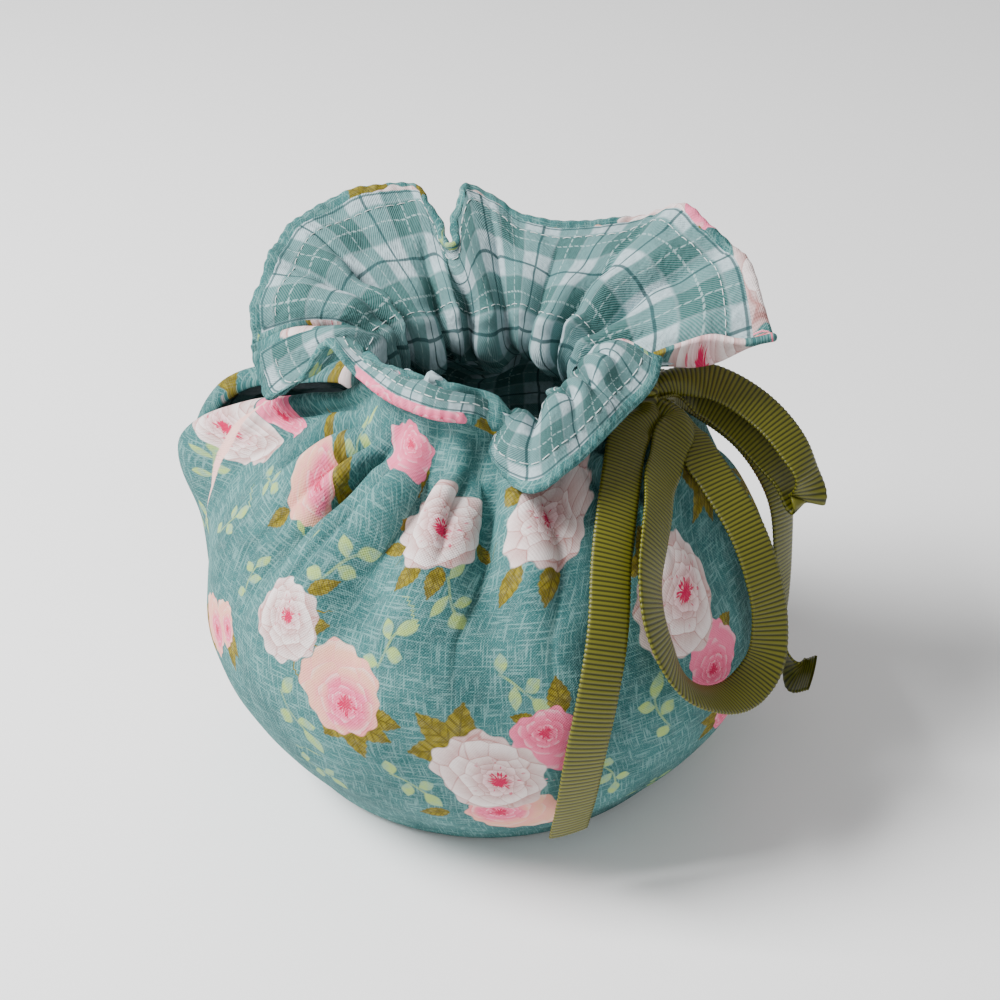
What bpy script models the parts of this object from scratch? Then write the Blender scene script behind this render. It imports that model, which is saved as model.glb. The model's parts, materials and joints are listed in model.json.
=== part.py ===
"""A drawstring tea cosy: two floral panels and their plaid lining, gathered at the neck, with a ribbon bow.

The cosy stands on its hem. It is hollow, with a hole in one side seam for the spout, a slit in the other for
the handle, and an open neck below a ruffle. The spout side is -X, the handle side +X and the front -Y. A
bearing is an angle round the axis in degrees, 0 at the front and 90 at the handle side. Lengths below are in
millimetres and are scaled once, where a mesh is made.
"""

import bpy
import numpy as np

MM = 0.001

CLOTH = 1.0  # thickness of each cloth sheet
GAP = 0.3  # between pieces that touch
RIBBON_WIDTH = 10.0
RIBBON_THICKNESS = 1.0
AXIS = (-1.9, 0.1)  # where the body's axis stands, so that the whole object is centred on the origin

WIDEST_COLUMN_DEG = 12.0  # of each sheet's mesh, whose columns follow the rows of its rim table
NECK_RISE_DEG = 78.0  # how steeply the ruffle leaves the neck
SEAM_SLANT = 1.5  # widens the gap at a seam, which doesn't run straight up
TURN_STEP = 0.5  # degrees to the points that give the direction across the cloth
ROW_STEP = 0.01  # how far along the cloth to the points that give the direction up it
SLOPE_STEP = 0.004  # how far along the outline to the points that give its slope

# The body's outline from hem to neck: how far along the cloth (0 at the hem, 1 at the neck), radius, height.
OUTLINE = (
    ("hem edge", 0.00, 41.0, 0.0),
    ("hem turn", 0.05, 48.0, 0.0),
    ("tuck", 0.14, 55.5, 8.0),
    ("low belly", 0.27, 66.5, 24.0),
    ("belly", 0.42, 73.0, 44.0),
    ("high belly", 0.56, 70.0, 62.0),
    ("shoulder", 0.71, 59.5, 79.0),
    ("slope", 0.87, 41.0, 91.0),
    ("under neck", 0.95, 30.5, 96.5),
    ("neck", 1.00, 26.5, 102.0),
)

# How far along the cloth each row of the body's mesh lies, and the same for the ruffle from neck to rim.
BODY_ROWS = (
    *(0.0, 0.05, 0.09, 0.14, 0.2, 0.28, 0.37, 0.47),
    *(0.56, 0.64, 0.72, 0.79, 0.86, 0.92, 0.965, 1.0),
)
RUFFLE_ROWS = (0.14, 0.3, 0.46, 0.62, 0.76, 0.88, 1.0)

# Folds that run down from the neck: bearing at the neck, bearing at the foot, depth (+ ridge, - valley),
# width in degrees, how far along the cloth the fold has died away.
FOLDS = (
    ("left valley", -34, -54, -5.0, 8, 0.36),
    ("left ridge", -22, -40, 3.0, 8, 0.40),
    ("front left valley", -12, -21, -5.0, 7, 0.44),
    ("front ridge", -1, -5, 3.0, 8, 0.40),
    ("front valley", 9, 18, -5.5, 7, 0.46),
    ("front right ridge", 22, 27, 3.0, 7, 0.50),
    ("tail valley", 40, 45, -4.0, 8, 0.52),
    ("right ridge", 56, 58, 2.5, 8, 0.50),
    ("handle valley", 68, 73, -4.0, 8, 0.45),
    ("back right valley", 124, 119, -4.0, 8, 0.42),
    ("back right ridge", 138, 134, 2.5, 8, 0.46),
    ("back valley", 158, 160, -4.5, 8, 0.40),
    ("back ridge", 174, 178, 3.0, 8, 0.44),
    ("back left valley", 192, 196, -4.5, 8, 0.42),
    ("back left ridge", 208, 212, 2.5, 8, 0.48),
    ("far left valley", 226, 230, -4.0, 8, 0.46),
)

FOLD_NECK_WIDTH, FOLD_FOOT_WIDTH = 0.75, 1.2  # times a fold's own width
FOLD_NECK_DEPTH = 0.3  # times a fold's own depth, which it reaches a little below the neck
FOLD_FULL_AT, FOLD_FADES_AT = 0.3, 0.35  # of the way from the neck to the fold's foot

# The cloth stands out round the spout hole, fully between the two middle bearings.
SPOUT_BULGE = 22.0
BULGE_BEARINGS = (-128.0, -106.0, -90.0, -77.0)
BULGE_MIDDLE, BULGE_WIDTH = 0.73, 0.185  # shares along the cloth

# The side seams: how far along the cloth, bearing of the seam's middle, how many degrees it stands open.
SPOUT_SEAM = (
    ("hem", 0.00, -88.0, 0.0),
    ("low seam", 0.35, -90.0, 0.0),
    ("high seam", 0.56, -93.0, 0.0),
    ("hole foot", 0.65, -94.5, 0.0),
    ("hole lip", 0.72, -96.0, 8.0),
    ("hole middle", 0.78, -101.0, 17.0),
    ("hole back", 0.84, -105.0, 20.0),
    ("hole top", 0.90, -103.0, 16.0),
    ("over hole", 0.96, -94.5, 5.0),
    ("neck", 1.00, -90.0, 0.0),
)
HANDLE_SEAM = (
    ("hem", 0.00, 88.0, 0.0),
    ("low seam", 0.25, 89.5, 0.0),
    ("slit foot", 0.36, 91.0, 0.0),
    ("slit low", 0.45, 91.5, 9.0),
    ("slit middle", 0.56, 92.5, 13.5),
    ("slit high", 0.67, 94.0, 13.0),
    ("slit top", 0.76, 95.5, 5.0),
    ("over slit", 0.81, 97.0, 0.0),
    ("neck", 1.00, 105.0, 0.0),
)

# The ruffle's rim, round each panel: bearing at the neck, bearing at the rim, reach from the axis, height,
# how far the cloth stands up at the neck, how far it curls at the rim, and its slope at the rim in degrees.
FRONT_RIM = (
    ("spout seam", -90, -92, 58.5, 105.0, 18, 14, -35),
    ("left tip", -78, -84, 54.0, 95.5, 18, 14, -50),
    ("under arch", -67, -82, 46.5, 102.0, 16, 11, -35),
    ("arch", -56, -77, 39.0, 113.0, 15, 9, -5),
    ("arch foot", -42, -61, 31.5, 110.0, 17, 10, -35),
    ("left roll", -25, -39, 28.5, 109.0, 20, 12, -55),
    ("middle roll", -4, -12, 29.5, 109.5, 21, 12, -60),
    ("front roll", 12, 8, 27.0, 107.5, 19, 12, -62),
    ("fold in", 22, 19, 27.0, 103.0, 15, 12, -66),
    ("fold out", 31, 21, 34.0, 98.5, 13, 12, -60),
    ("front tip", 40, 28, 42.0, 98.0, 14, 13, -48),
    ("lobe", 50, 38, 42.0, 102.0, 14, 13, -42),
    ("lobe middle", 61, 50, 40.0, 105.0, 15, 12, -38),
    ("lobe side", 78, 68, 38.5, 107.5, 17, 12, -32),
    ("lobe corner", 94, 84, 40.5, 110.5, 19, 11, -20),
    ("handle edge", 105, 92, 41.0, 114.0, 21, 10, 0),
)
BACK_RIM = (
    ("handle edge", 105, 101, 67.5, 117.0, 14, 18, 10),
    ("scoop", 110, 105, 68.0, 113.5, 3, 25, 28),
    ("right tip", 117, 112, 66.5, 119.0, 8, 18, 14),
    ("right shelf", 127, 125, 68.0, 123.0, 10, 15, 16),
    ("right corner", 137, 137, 66.5, 126.0, 11, 14, 22),
    ("right peak", 146, 147, 66.0, 128.5, 11, 14, 26),
    ("peak foot", 152, 153, 60.5, 125.0, 11, 12, 32),
    ("back right", 162, 164, 54.0, 123.0, 12, 10, 42),
    ("back", 171, 176, 51.0, 123.0, 12, 9, 46),
    ("back left", 177, 185, 52.0, 124.0, 12, 9, 46),
    ("puff foot", 182, 191, 54.0, 127.0, 12, 9, 46),
    ("puff", 188, 199, 56.0, 130.0, 12, 10, 42),
    ("puff side", 195, 204, 47.0, 126.0, 12, 9, 50),
    ("deep valley", 202, 207, 39.0, 121.5, 11, 8, 58),
    ("shell side", 209, 209, 50.0, 127.0, 12, 9, 46),
    ("shell corner", 215, 211, 58.0, 130.0, 12, 11, 36),
    ("shell top", 223, 219, 61.5, 129.5, 12, 12, 30),
    ("shell", 233, 231, 65.5, 127.0, 12, 14, 24),
    ("shell left", 243, 242, 66.0, 124.0, 13, 14, 14),
    ("left side", 256, 257, 60.5, 119.0, 15, 14, -4),
    ("left fall", 264, 265, 59.5, 113.0, 17, 14, -22),
    ("spout seam", 270, 268, 58.5, 105.0, 18, 14, -35),
)

# Each ribbon's middle line: bearing, reach, height, and how far its face turns from lying flat on the cosy.
RIBBONS = {
    "tail_front": (
        (97.5, 40.0, 97.5, 0),
        (88, 37.0, 98.0, 0),
        (77, 37.0, 97.5, 0),
        (62, 41.5, 95.5, 0),
        (50, 49.0, 91.5, 0),
        (42, 57.5, 86.0, 0),
        (36, 68.5, 75.0, 0),
        (32, 75.0, 61.5, 0),
        (29.5, 77.5, 48.0, 0),
        (28.5, 76.5, 34.0, 4),
        (28, 73.5, 22.0, 8),
    ),
    "tail_back": (
        (120, 44.0, 95.5, 0),
        (128, 51.0, 90.5, -30),
        (127, 60.5, 84.0, -50),
        (120, 70.5, 75.5, -50),
        (113, 77.0, 63.0, -45),
        (109, 78.0, 49.0, -40),
        (107, 78.0, 36.0, -40),
        (104, 79.0, 23.5, -20),
        (100, 82.5, 17.0, 0),
        (97, 86.0, 21.5, 0),
    ),
    "loop_front": (
        (106, 46.0, 94.5, -15),
        (97, 48.5, 92.5, -25),
        (90, 52.0, 90.5, -30),
        (83.5, 59.0, 86.0, -30),
        (79.5, 67.0, 78.5, -30),
        (77, 72.5, 70.0, -30),
        (74.5, 77.0, 58.0, -35),
        (71, 78.5, 50.5, -50),
        (65, 78.5, 48.0, -65),
        (58, 78.5, 50.0, -70),
        (52.5, 78.0, 54.5, -65),
        (48.5, 77.0, 60.0, -50),
        (46, 74.5, 67.5, -35),
        (45.5, 69.5, 76.0, -30),
        (48, 64.0, 82.5, -30),
        (53.5, 58.5, 87.5, -25),
        (61, 53.0, 90.0, -20),
        (69, 48.5, 92.0, -15),
        (78, 46.5, 92.5, -10),
        (88, 45.5, 94.5, 0),
        (98.5, 47.5, 96.0, 0),
    ),
    "loop_back": (
        (112, 45.5, 100.5, -25),
        (112, 55.5, 99.0, -40),
        (107, 66.0, 94.5, -45),
        (101, 75.0, 87.0, -38),
        (98, 79.5, 79.0, -35),
        (97.5, 79.0, 73.5, -100),
        (100, 75.5, 75.5, -148),
        (104, 70.0, 81.5, -140),
        (109, 62.0, 88.5, -135),
        (113, 54.0, 93.5, -140),
        (115, 46.5, 96.5, -155),
    ),
}
RIBBON_STEP = 5.0  # length of one straight piece of a ribbon
PINCHED = 0.5  # of a ribbon's full width, where it leaves the knot
FULL_WIDTH_AT = 16.0  # from the knot
BELLY_SHARE, BELLY_TO_TOP = 0.42, 60.0  # the belly's place on the outline, and the height of a dome over it
KNOT = (108.0, 38.5, 98.0)  # bearing, reach, height
KNOT_SIZE = (10.5, 7.0, 10.0)  # across, out from the neck, up
KNOT_ROUNDING = 2.4

COLOURS = {
    "floral": (0.20, 0.42, 0.42),
    "plaid": (0.38, 0.56, 0.54),
    "ribbon": (0.14, 0.15, 0.03),
}


def columns_of(table):
    """A named table's numbers, without its first column of names."""
    return np.array([row[1:] for row in table], float)


def through(rows, at):
    """Reads a smooth curve through the rows of a table, whose first column is the place along it."""
    places, values = rows[:, 0], rows[:, 1:]
    slopes = np.gradient(values, places, axis=0)
    k = np.clip(np.searchsorted(places, at, side="right") - 1, 0, len(places) - 2)
    span = (places[k + 1] - places[k])[..., None]
    t = (np.asarray(at, float)[..., None] - places[k][..., None]) / span
    return (
        (1 + 2 * t) * (1 - t) ** 2 * values[k]
        + t * (1 - t) ** 2 * span * slopes[k]
        + t**2 * (3 - 2 * t) * values[k + 1]
        - t**2 * (1 - t) * span * slopes[k + 1]
    )


def unit(vectors):
    return vectors / np.linalg.norm(vectors, axis=-1, keepdims=True)


def hump(x, middle, width):
    return np.exp(-(((x - middle) / width) ** 2))


def ease(x):
    x = np.clip(x, 0, 1)
    return x * x * (3 - 2 * x)


def at_bearing(bearing, reach, height):
    """Points in millimetres from a bearing in degrees, a reach from the axis and a height."""
    angle = np.radians(bearing)
    return np.stack(
        [AXIS[0] + reach * np.sin(angle), AXIS[1] - reach * np.cos(angle), height + 0 * angle],
        axis=-1,
    )


def outward(bearing, slope_deg):
    """Unit vectors that point out from the axis at a bearing, tipped up by a slope."""
    angle, slope = np.radians(bearing), np.radians(slope_deg)
    return np.stack(
        [np.cos(slope) * np.sin(angle), -np.cos(slope) * np.cos(angle), np.sin(slope) + 0 * angle],
        axis=-1,
    )


def fold_depth(bearing, share):
    """How far the folds below the neck lift or sink the cloth there."""
    depth = 0 * bearing * share
    for _, at_neck, at_foot, deep, width, foot in FOLDS:
        down = np.clip((1 - share) / (1 - foot), 0, 1)
        middle = at_neck + (at_foot - at_neck) * down
        turn = (bearing - middle + 180) % 360 - 180
        spread = width * (FOLD_NECK_WIDTH + (FOLD_FOOT_WIDTH - FOLD_NECK_WIDTH) * down)
        strength = FOLD_NECK_DEPTH + (1 - FOLD_NECK_DEPTH) * ease(down / FOLD_FULL_AT)
        strength = strength * (1 - ease((down - FOLD_FADES_AT) / (1 - FOLD_FADES_AT)))
        depth = depth + deep * strength * hump(turn, 0, spread)
    return depth


def spout_bulge(bearing, share):
    """How far the spout's foot pushed the cloth out round its hole."""
    back, back_full, front_full, front = BULGE_BEARINGS
    turn = (bearing + 180) % 360 - 180
    around = ease((front - turn) / (front - front_full)) * ease((turn - back) / (back_full - back))
    return SPOUT_BULGE * around * hump(share, BULGE_MIDDLE, BULGE_WIDTH)


def body_points(bearing, share):
    """The outer face of the cosy between hem and neck."""
    outline = columns_of(OUTLINE)
    radius, height = np.moveaxis(through(outline, share), -1, 0)
    below = through(outline, np.clip(share - SLOPE_STEP, 0, 1))
    above = through(outline, np.clip(share + SLOPE_STEP, 0, 1))
    slope = np.degrees(np.arctan2(-(above - below)[..., 0], (above - below)[..., 1]))
    depth = fold_depth(bearing, share)
    points = at_bearing(bearing, radius + spout_bulge(bearing, share), height)
    return points + depth[..., None] * outward(bearing, slope)


def ruffle_points(bearing, along, rim):
    """The outer face of the ruffle: each strip of it leaves the neck steeply and curls over to the rim."""
    rim_bearing, reach, height, stand, curl, fall = np.moveaxis(through(columns_of(rim), bearing), -1, 0)
    root = body_points(bearing, np.ones_like(bearing))
    edge = at_bearing(rim_bearing, reach, height)
    risen = root + stand[..., None] * outward(bearing, NECK_RISE_DEG + 0 * bearing)
    before = edge - curl[..., None] * outward(rim_bearing, fall)
    t = along[..., None]
    lower = (1 - t) ** 3 * root + 3 * t * (1 - t) ** 2 * risen
    return lower + 3 * t**2 * (1 - t) * before + t**3 * edge


def panel_points(bearing, row, rim, ahead=0.0):
    """The outer face of a panel at some bearings in one row of its mesh, or a little ahead of that row."""
    if row < len(BODY_ROWS):
        return body_points(bearing, np.full_like(bearing, BODY_ROWS[row] + ahead))
    along = RUFFLE_ROWS[row - len(BODY_ROWS)] + ahead
    return ruffle_points(bearing, np.full_like(bearing, along), rim)


def panel_directions(bearing, row, rim):
    """Unit vectors that point out of the cloth at some bearings in one row of its mesh."""
    across = panel_points(bearing + TURN_STEP, row, rim) - panel_points(bearing - TURN_STEP, row, rim)
    at_hem, at_neck = row == 0, row == len(BODY_ROWS) - 1
    up = panel_points(bearing, row, rim, 0 if at_neck else ROW_STEP)
    up = up - panel_points(bearing, row, rim, 0 if at_hem else -ROW_STEP)
    if at_neck:
        root = ruffle_points(bearing, np.zeros_like(bearing), rim)
        above = ruffle_points(bearing, np.full_like(bearing, ROW_STEP), rim)
        up = unit(up) + unit(above - root)
    return unit(np.cross(across, up))


def column_places(rim):
    """Where a panel's columns stand, from 0 at its left edge to 1 at its right: one at each rim row."""
    stops = columns_of(rim)[:, 0]
    places = [stops[0]]
    for left, right in zip(stops[:-1], stops[1:]):
        pieces = int(np.ceil((right - left) / WIDEST_COLUMN_DEG))
        places.extend(left + (right - left) * (k + 1) / pieces for k in range(pieces))
    return (np.array(places) - stops[0]) / (stops[-1] - stops[0])


def panel_edges(share, front):
    """The bearings of a panel's left and right edges, which keep half the gap from each seam."""
    radius = through(columns_of(OUTLINE), share)[0]
    inset = np.degrees(GAP / 2 / radius) * SEAM_SLANT
    spout, spout_open = through(columns_of(SPOUT_SEAM), share)
    handle, handle_open = through(columns_of(HANDLE_SEAM), share)
    spout_half, handle_half = (max(opening, 0) / 2 + inset for opening in (spout_open, handle_open))
    if front:
        return spout + spout_half, handle - handle_half
    return handle + handle_half, spout - spout_half + 360


def panel_grid(front):
    """One panel's outer face as a grid of points, in rows from hem to rim, and its outward directions."""
    rim = FRONT_RIM if front else BACK_RIM
    places = column_places(rim)
    grid, normals = [], []
    for row in range(len(BODY_ROWS) + len(RUFFLE_ROWS)):
        share = np.array(BODY_ROWS[min(row, len(BODY_ROWS) - 1)])
        left, right = panel_edges(share, front)
        bearing = left + (right - left) * places
        grid.append(panel_points(bearing, row, rim))
        normals.append(panel_directions(bearing, row, rim))
    return np.array(grid), np.array(normals)


def add_object(name, points, faces, kind):
    """Makes one named mesh object from points in millimetres."""
    mesh = bpy.data.meshes.new(name)
    mesh.from_pydata((np.asarray(points) * MM).tolist(), [], faces)
    mesh.materials.append(bpy.data.materials[kind])
    mesh.shade_smooth()
    mesh.set_sharp_from_angle(angle=np.radians(50))
    made = bpy.data.objects.new(name, mesh)
    bpy.context.scene.collection.objects.link(made)
    return made


def sheet_faces(rows, columns):
    """Faces of a closed sheet whose outer grid comes first and whose inner grid follows it."""
    outer = np.arange(rows * columns).reshape(rows, columns)
    inner = outer + rows * columns
    faces = []
    for i in range(rows - 1):
        for j in range(columns - 1):
            faces.append((outer[i, j], outer[i, j + 1], outer[i + 1, j + 1], outer[i + 1, j]))
            faces.append((inner[i, j], inner[i + 1, j], inner[i + 1, j + 1], inner[i, j + 1]))
    border = (
        [(i, 0) for i in range(rows - 1, 0, -1)]
        + [(0, j) for j in range(columns - 1)]
        + [(i, columns - 1) for i in range(rows - 1)]
        + [(rows - 1, j) for j in range(columns - 1, 0, -1)]
    )
    for here, there in zip(border, border[1:] + border[:1]):
        faces.append((outer[there], outer[here], inner[here], inner[there]))
    return [tuple(int(v) for v in face) for face in faces]


def add_sheet(name, grid, normals, depth, kind):
    """A cloth sheet of the cloth's thickness, whose outer face lies a depth inside the grid."""
    outer = grid - depth * normals
    inner = grid - (depth + CLOTH) * normals
    points = np.concatenate([outer.reshape(-1, 3), inner.reshape(-1, 3)])
    return add_object(name, points, sheet_faces(*grid.shape[:2]), kind)


def add_panels():
    for side, front in (("front", True), ("back", False)):
        grid, normals = panel_grid(front)
        add_sheet(f"{side}_panel", grid, normals, 0.0, "floral")
        add_sheet(f"lining_{side}", grid, normals, CLOTH + GAP, "plaid")


def ribbon_line(route):
    """Even points along a ribbon's middle line, with the directions across it and out of its face."""
    route = np.array(route, float)
    knots = at_bearing(*route[:, :3].T)
    lengths = np.concatenate([[0], np.cumsum(np.linalg.norm(np.diff(knots, axis=0), axis=1))])
    places = np.linspace(0, lengths[-1], round(lengths[-1] / RIBBON_STEP) + 1)
    line = through(np.column_stack([lengths, knots, route[:, 3]]), places)
    middle, turn = line[:, :3], np.radians(line[:, 3:])
    ahead = unit(np.gradient(middle, axis=0))
    radius, height = through(columns_of(OUTLINE), np.array(BELLY_SHARE))
    out = (middle - [*AXIS, height]) / [radius**2, radius**2, BELLY_TO_TOP**2]
    side = unit(np.cross(ahead, out))
    face = np.cross(side, ahead)
    across = np.cos(turn) * side + np.sin(turn) * face
    return middle, across, np.cross(across, ahead)


def add_ribbon(name, route):
    """A ribbon as a flat strip, pinched where it leaves the knot."""
    middle, across, face = ribbon_line(route)
    travelled = np.concatenate([[0], np.cumsum(np.linalg.norm(np.diff(middle, axis=0), axis=1))])
    from_knot = travelled if name.startswith("tail") else np.minimum(travelled, travelled[-1] - travelled)
    width = RIBBON_WIDTH * (PINCHED + (1 - PINCHED) * ease(from_knot / FULL_WIDTH_AT))
    half, thick = width[:, None] / 2 * across, RIBBON_THICKNESS / 2 * face
    corners = (-half - thick, half - thick, half + thick, thick - half)
    points = np.stack([middle + corner for corner in corners], axis=1)
    count = len(middle)
    faces = [(0, 1, 2, 3), tuple(4 * (count - 1) + k for k in (3, 2, 1, 0))]
    for i in range(count - 1):
        for k in range(4):
            a, b = 4 * i + k, 4 * i + (k + 1) % 4
            faces.append((b, a, a + 4, b + 4))
    return add_object(name, points.reshape(-1, 3), faces, "ribbon")


def add_knot():
    """The knot: a small rounded block, turned to stand square on the neck."""
    bpy.ops.mesh.primitive_cube_add(size=1)
    knot = bpy.context.object
    knot.name = knot.data.name = "bow_knot"
    knot.scale = np.array(KNOT_SIZE) * MM
    bpy.ops.object.transform_apply(location=False, rotation=False)
    knot.location = at_bearing(*KNOT) * MM
    knot.rotation_euler[2] = np.radians(KNOT[0])
    bevel = knot.modifiers.new("round", "BEVEL")
    bevel.width = KNOT_ROUNDING * MM
    bevel.segments = 3
    knot.data.materials.append(bpy.data.materials["ribbon"])


def add_materials():
    for name, colour in COLOURS.items():
        material = bpy.data.materials.new(name)
        material.use_nodes = True
        shader = material.node_tree.nodes["Principled BSDF"]
        shader.inputs["Base Color"].default_value = (*colour, 1.0)
        shader.inputs["Roughness"].default_value = 0.85
        shader.inputs["Metallic"].default_value = 0.0


def main():
    for old in list(bpy.data.objects):
        bpy.data.objects.remove(old)
    add_materials()
    add_panels()
    add_knot()
    for name, route in RIBBONS.items():
        add_ribbon(name, route)


main()
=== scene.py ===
"""The drawstring tea cosy as it looks: gathered cotton, its plaid lining, a grosgrain bow and the studio.

The cosy stands on its hem. The spout side is -X, the handle side +X and the front -Y. A bearing is an
angle round the axis in degrees, 0 at the front and 90 at the handle side. Lengths are in millimetres, and
are scaled where a mesh is made. Along the cloth, "rise" runs from 0 at the hem to 1 at the neck and 2 at
the ruffle's rim, and "share" stops at 1.
"""

from __future__ import annotations

import json
import logging
from dataclasses import dataclass
from enum import Enum
from typing import Callable, Union

import bpy
import numpy as np
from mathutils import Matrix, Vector

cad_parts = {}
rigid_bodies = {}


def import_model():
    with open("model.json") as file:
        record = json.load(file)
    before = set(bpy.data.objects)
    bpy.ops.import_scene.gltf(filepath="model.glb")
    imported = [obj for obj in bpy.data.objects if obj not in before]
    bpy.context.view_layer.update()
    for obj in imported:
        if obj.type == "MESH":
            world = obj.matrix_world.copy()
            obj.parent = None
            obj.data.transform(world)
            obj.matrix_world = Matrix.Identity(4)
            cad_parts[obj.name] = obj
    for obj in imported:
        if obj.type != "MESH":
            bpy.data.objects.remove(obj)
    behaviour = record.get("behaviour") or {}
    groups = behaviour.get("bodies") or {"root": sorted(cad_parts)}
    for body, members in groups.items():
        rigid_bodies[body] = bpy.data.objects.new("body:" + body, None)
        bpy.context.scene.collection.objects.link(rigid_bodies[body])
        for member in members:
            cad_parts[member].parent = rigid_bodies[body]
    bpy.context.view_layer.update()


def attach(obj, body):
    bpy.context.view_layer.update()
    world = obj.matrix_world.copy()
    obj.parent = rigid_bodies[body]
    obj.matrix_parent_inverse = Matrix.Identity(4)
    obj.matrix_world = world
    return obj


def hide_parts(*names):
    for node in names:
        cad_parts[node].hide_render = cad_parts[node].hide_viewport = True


log = logging.getLogger("tea_cosy")

Array = np.ndarray
Object, Material, Socket = bpy.types.Object, bpy.types.Material, bpy.types.NodeSocket
Colour = tuple[float, float, float]
Table = tuple[tuple, ...]

MM = 0.001
AXIS = (-1.9, 0.1)
NECK_RISE_DEG = 78.0
PANEL_WIDTH = 230.0
BODY_LENGTH = 134.0
RUFFLE_LENGTH = 44.0
COLUMNS, BODY_ROWS, RUFFLE_ROWS = 290, 160, 58
THICKNESS = 1.9
SEAM_GAP = 0.15
BELLY = 0.42  # the share of the cloth at its widest
BODY_HALF_HEIGHT = 60.0
RIB = 1.1
CLOTH_GLOSS = 0.15
AJAR = 0.5  # a seam that stands open by more degrees than this has free edges
FAR, VERY_FAR = 50.0, 100.0  # distances that stand for "nowhere near an edge"
NEARLY_OVER = 3.1  # a roll's angle past which the cloth lies against the lining

OUTLINE: Table = (
    ("hem edge", 0.00, 41.0, 0.0),
    ("hem turn", 0.05, 48.0, 0.0),
    ("tuck", 0.14, 55.5, 8.0),
    ("low belly", 0.27, 66.5, 24.0),
    ("belly", 0.42, 73.0, 44.0),
    ("high belly", 0.56, 70.0, 62.0),
    ("shoulder", 0.71, 59.5, 79.0),
    ("slope", 0.87, 41.0, 91.0),
    ("under neck", 0.95, 30.5, 96.5),
    ("neck", 1.00, 26.5, 102.0),
)

# Bearing at the neck, bearing at the foot, depth, width in degrees, share of the cloth where the fold ends.
FOLDS: Table = (
    ("left valley", -34, -54, -5.0, 8, 0.36),
    ("left ridge", -22, -40, 3.0, 8, 0.40),
    ("front left valley", -12, -21, -5.0, 7, 0.44),
    ("front ridge", -1, -5, 3.0, 8, 0.40),
    ("front valley", 9, 18, -5.5, 7, 0.46),
    ("front right ridge", 22, 27, 3.0, 7, 0.50),
    ("tail valley", 40, 45, -4.0, 8, 0.52),
    ("right ridge", 56, 58, 2.5, 8, 0.50),
    ("handle valley", 68, 73, -4.0, 8, 0.45),
    ("back right valley", 124, 119, -4.0, 8, 0.42),
    ("back right ridge", 138, 134, 2.5, 8, 0.46),
    ("back valley", 158, 160, -4.5, 8, 0.40),
    ("back ridge", 174, 178, 3.0, 8, 0.44),
    ("back left valley", 192, 196, -4.5, 8, 0.42),
    ("back left ridge", 208, 212, 2.5, 8, 0.48),
    ("far left valley", 226, 230, -4.0, 8, 0.46),
)
FOLD_NECK_WIDTH, FOLD_FOOT_WIDTH = 0.75, 1.2
FOLD_NECK_DEPTH = 0.3
FOLD_FULL_AT, FOLD_FADES_AT = 0.3, 0.35

SPOUT_BULGE = 22.0
BULGE_BEARINGS = (-128.0, -106.0, -90.0, -77.0)
BULGE_MIDDLE, BULGE_WIDTH = 0.73, 0.185

# Share of the cloth, bearing of the seam's middle, degrees that it stands open.
SPOUT_SEAM: Table = (
    ("hem", 0.00, -88.0, 0.0),
    ("low seam", 0.35, -90.0, 0.0),
    ("high seam", 0.56, -93.0, 0.0),
    ("hole foot", 0.65, -94.5, 0.0),
    ("hole lip", 0.72, -96.0, 8.0),
    ("hole middle", 0.78, -101.0, 17.0),
    ("hole back", 0.84, -105.0, 20.0),
    ("hole top", 0.90, -103.0, 16.0),
    ("over hole", 0.96, -94.5, 5.0),
    ("neck", 1.00, -90.0, 0.0),
)
HANDLE_SEAM: Table = (
    ("hem", 0.00, 88.0, 0.0),
    ("low seam", 0.25, 89.5, 0.0),
    ("slit foot", 0.36, 91.0, 0.0),
    ("slit low", 0.45, 91.5, 9.0),
    ("slit middle", 0.56, 92.5, 13.5),
    ("slit high", 0.67, 94.0, 13.0),
    ("slit top", 0.76, 95.5, 5.0),
    ("over slit", 0.81, 97.0, 0.0),
    ("neck", 1.00, 105.0, 0.0),
)

# Bearings at the neck and at the rim, reach, height, stand at the neck, curl and slope at the rim.
FRONT_RIM: Table = (
    ("spout seam", -90, -92, 58.5, 105.0, 18, 14, -35),
    ("left tip", -78, -84, 54.0, 95.5, 18, 14, -50),
    ("under arch", -67, -82, 46.5, 102.0, 16, 11, -35),
    ("arch", -56, -77, 39.0, 113.0, 15, 9, -5),
    ("arch foot", -42, -61, 31.5, 110.0, 17, 10, -35),
    ("left roll", -25, -39, 28.5, 109.0, 20, 12, -55),
    ("middle roll", -4, -12, 29.5, 109.5, 21, 12, -60),
    ("front roll", 12, 8, 27.0, 107.5, 19, 12, -62),
    ("fold in", 22, 19, 27.0, 103.0, 15, 12, -66),
    ("fold out", 31, 21, 34.0, 98.5, 13, 12, -60),
    ("front tip", 40, 28, 42.0, 98.0, 14, 13, -48),
    ("lobe", 50, 38, 42.0, 102.0, 14, 13, -42),
    ("lobe middle", 61, 50, 40.0, 105.0, 15, 12, -38),
    ("lobe side", 78, 68, 38.5, 107.5, 17, 12, -32),
    ("lobe corner", 94, 84, 40.5, 110.5, 19, 11, -20),
    ("handle edge", 105, 92, 41.0, 114.0, 21, 10, 0),
)
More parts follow.
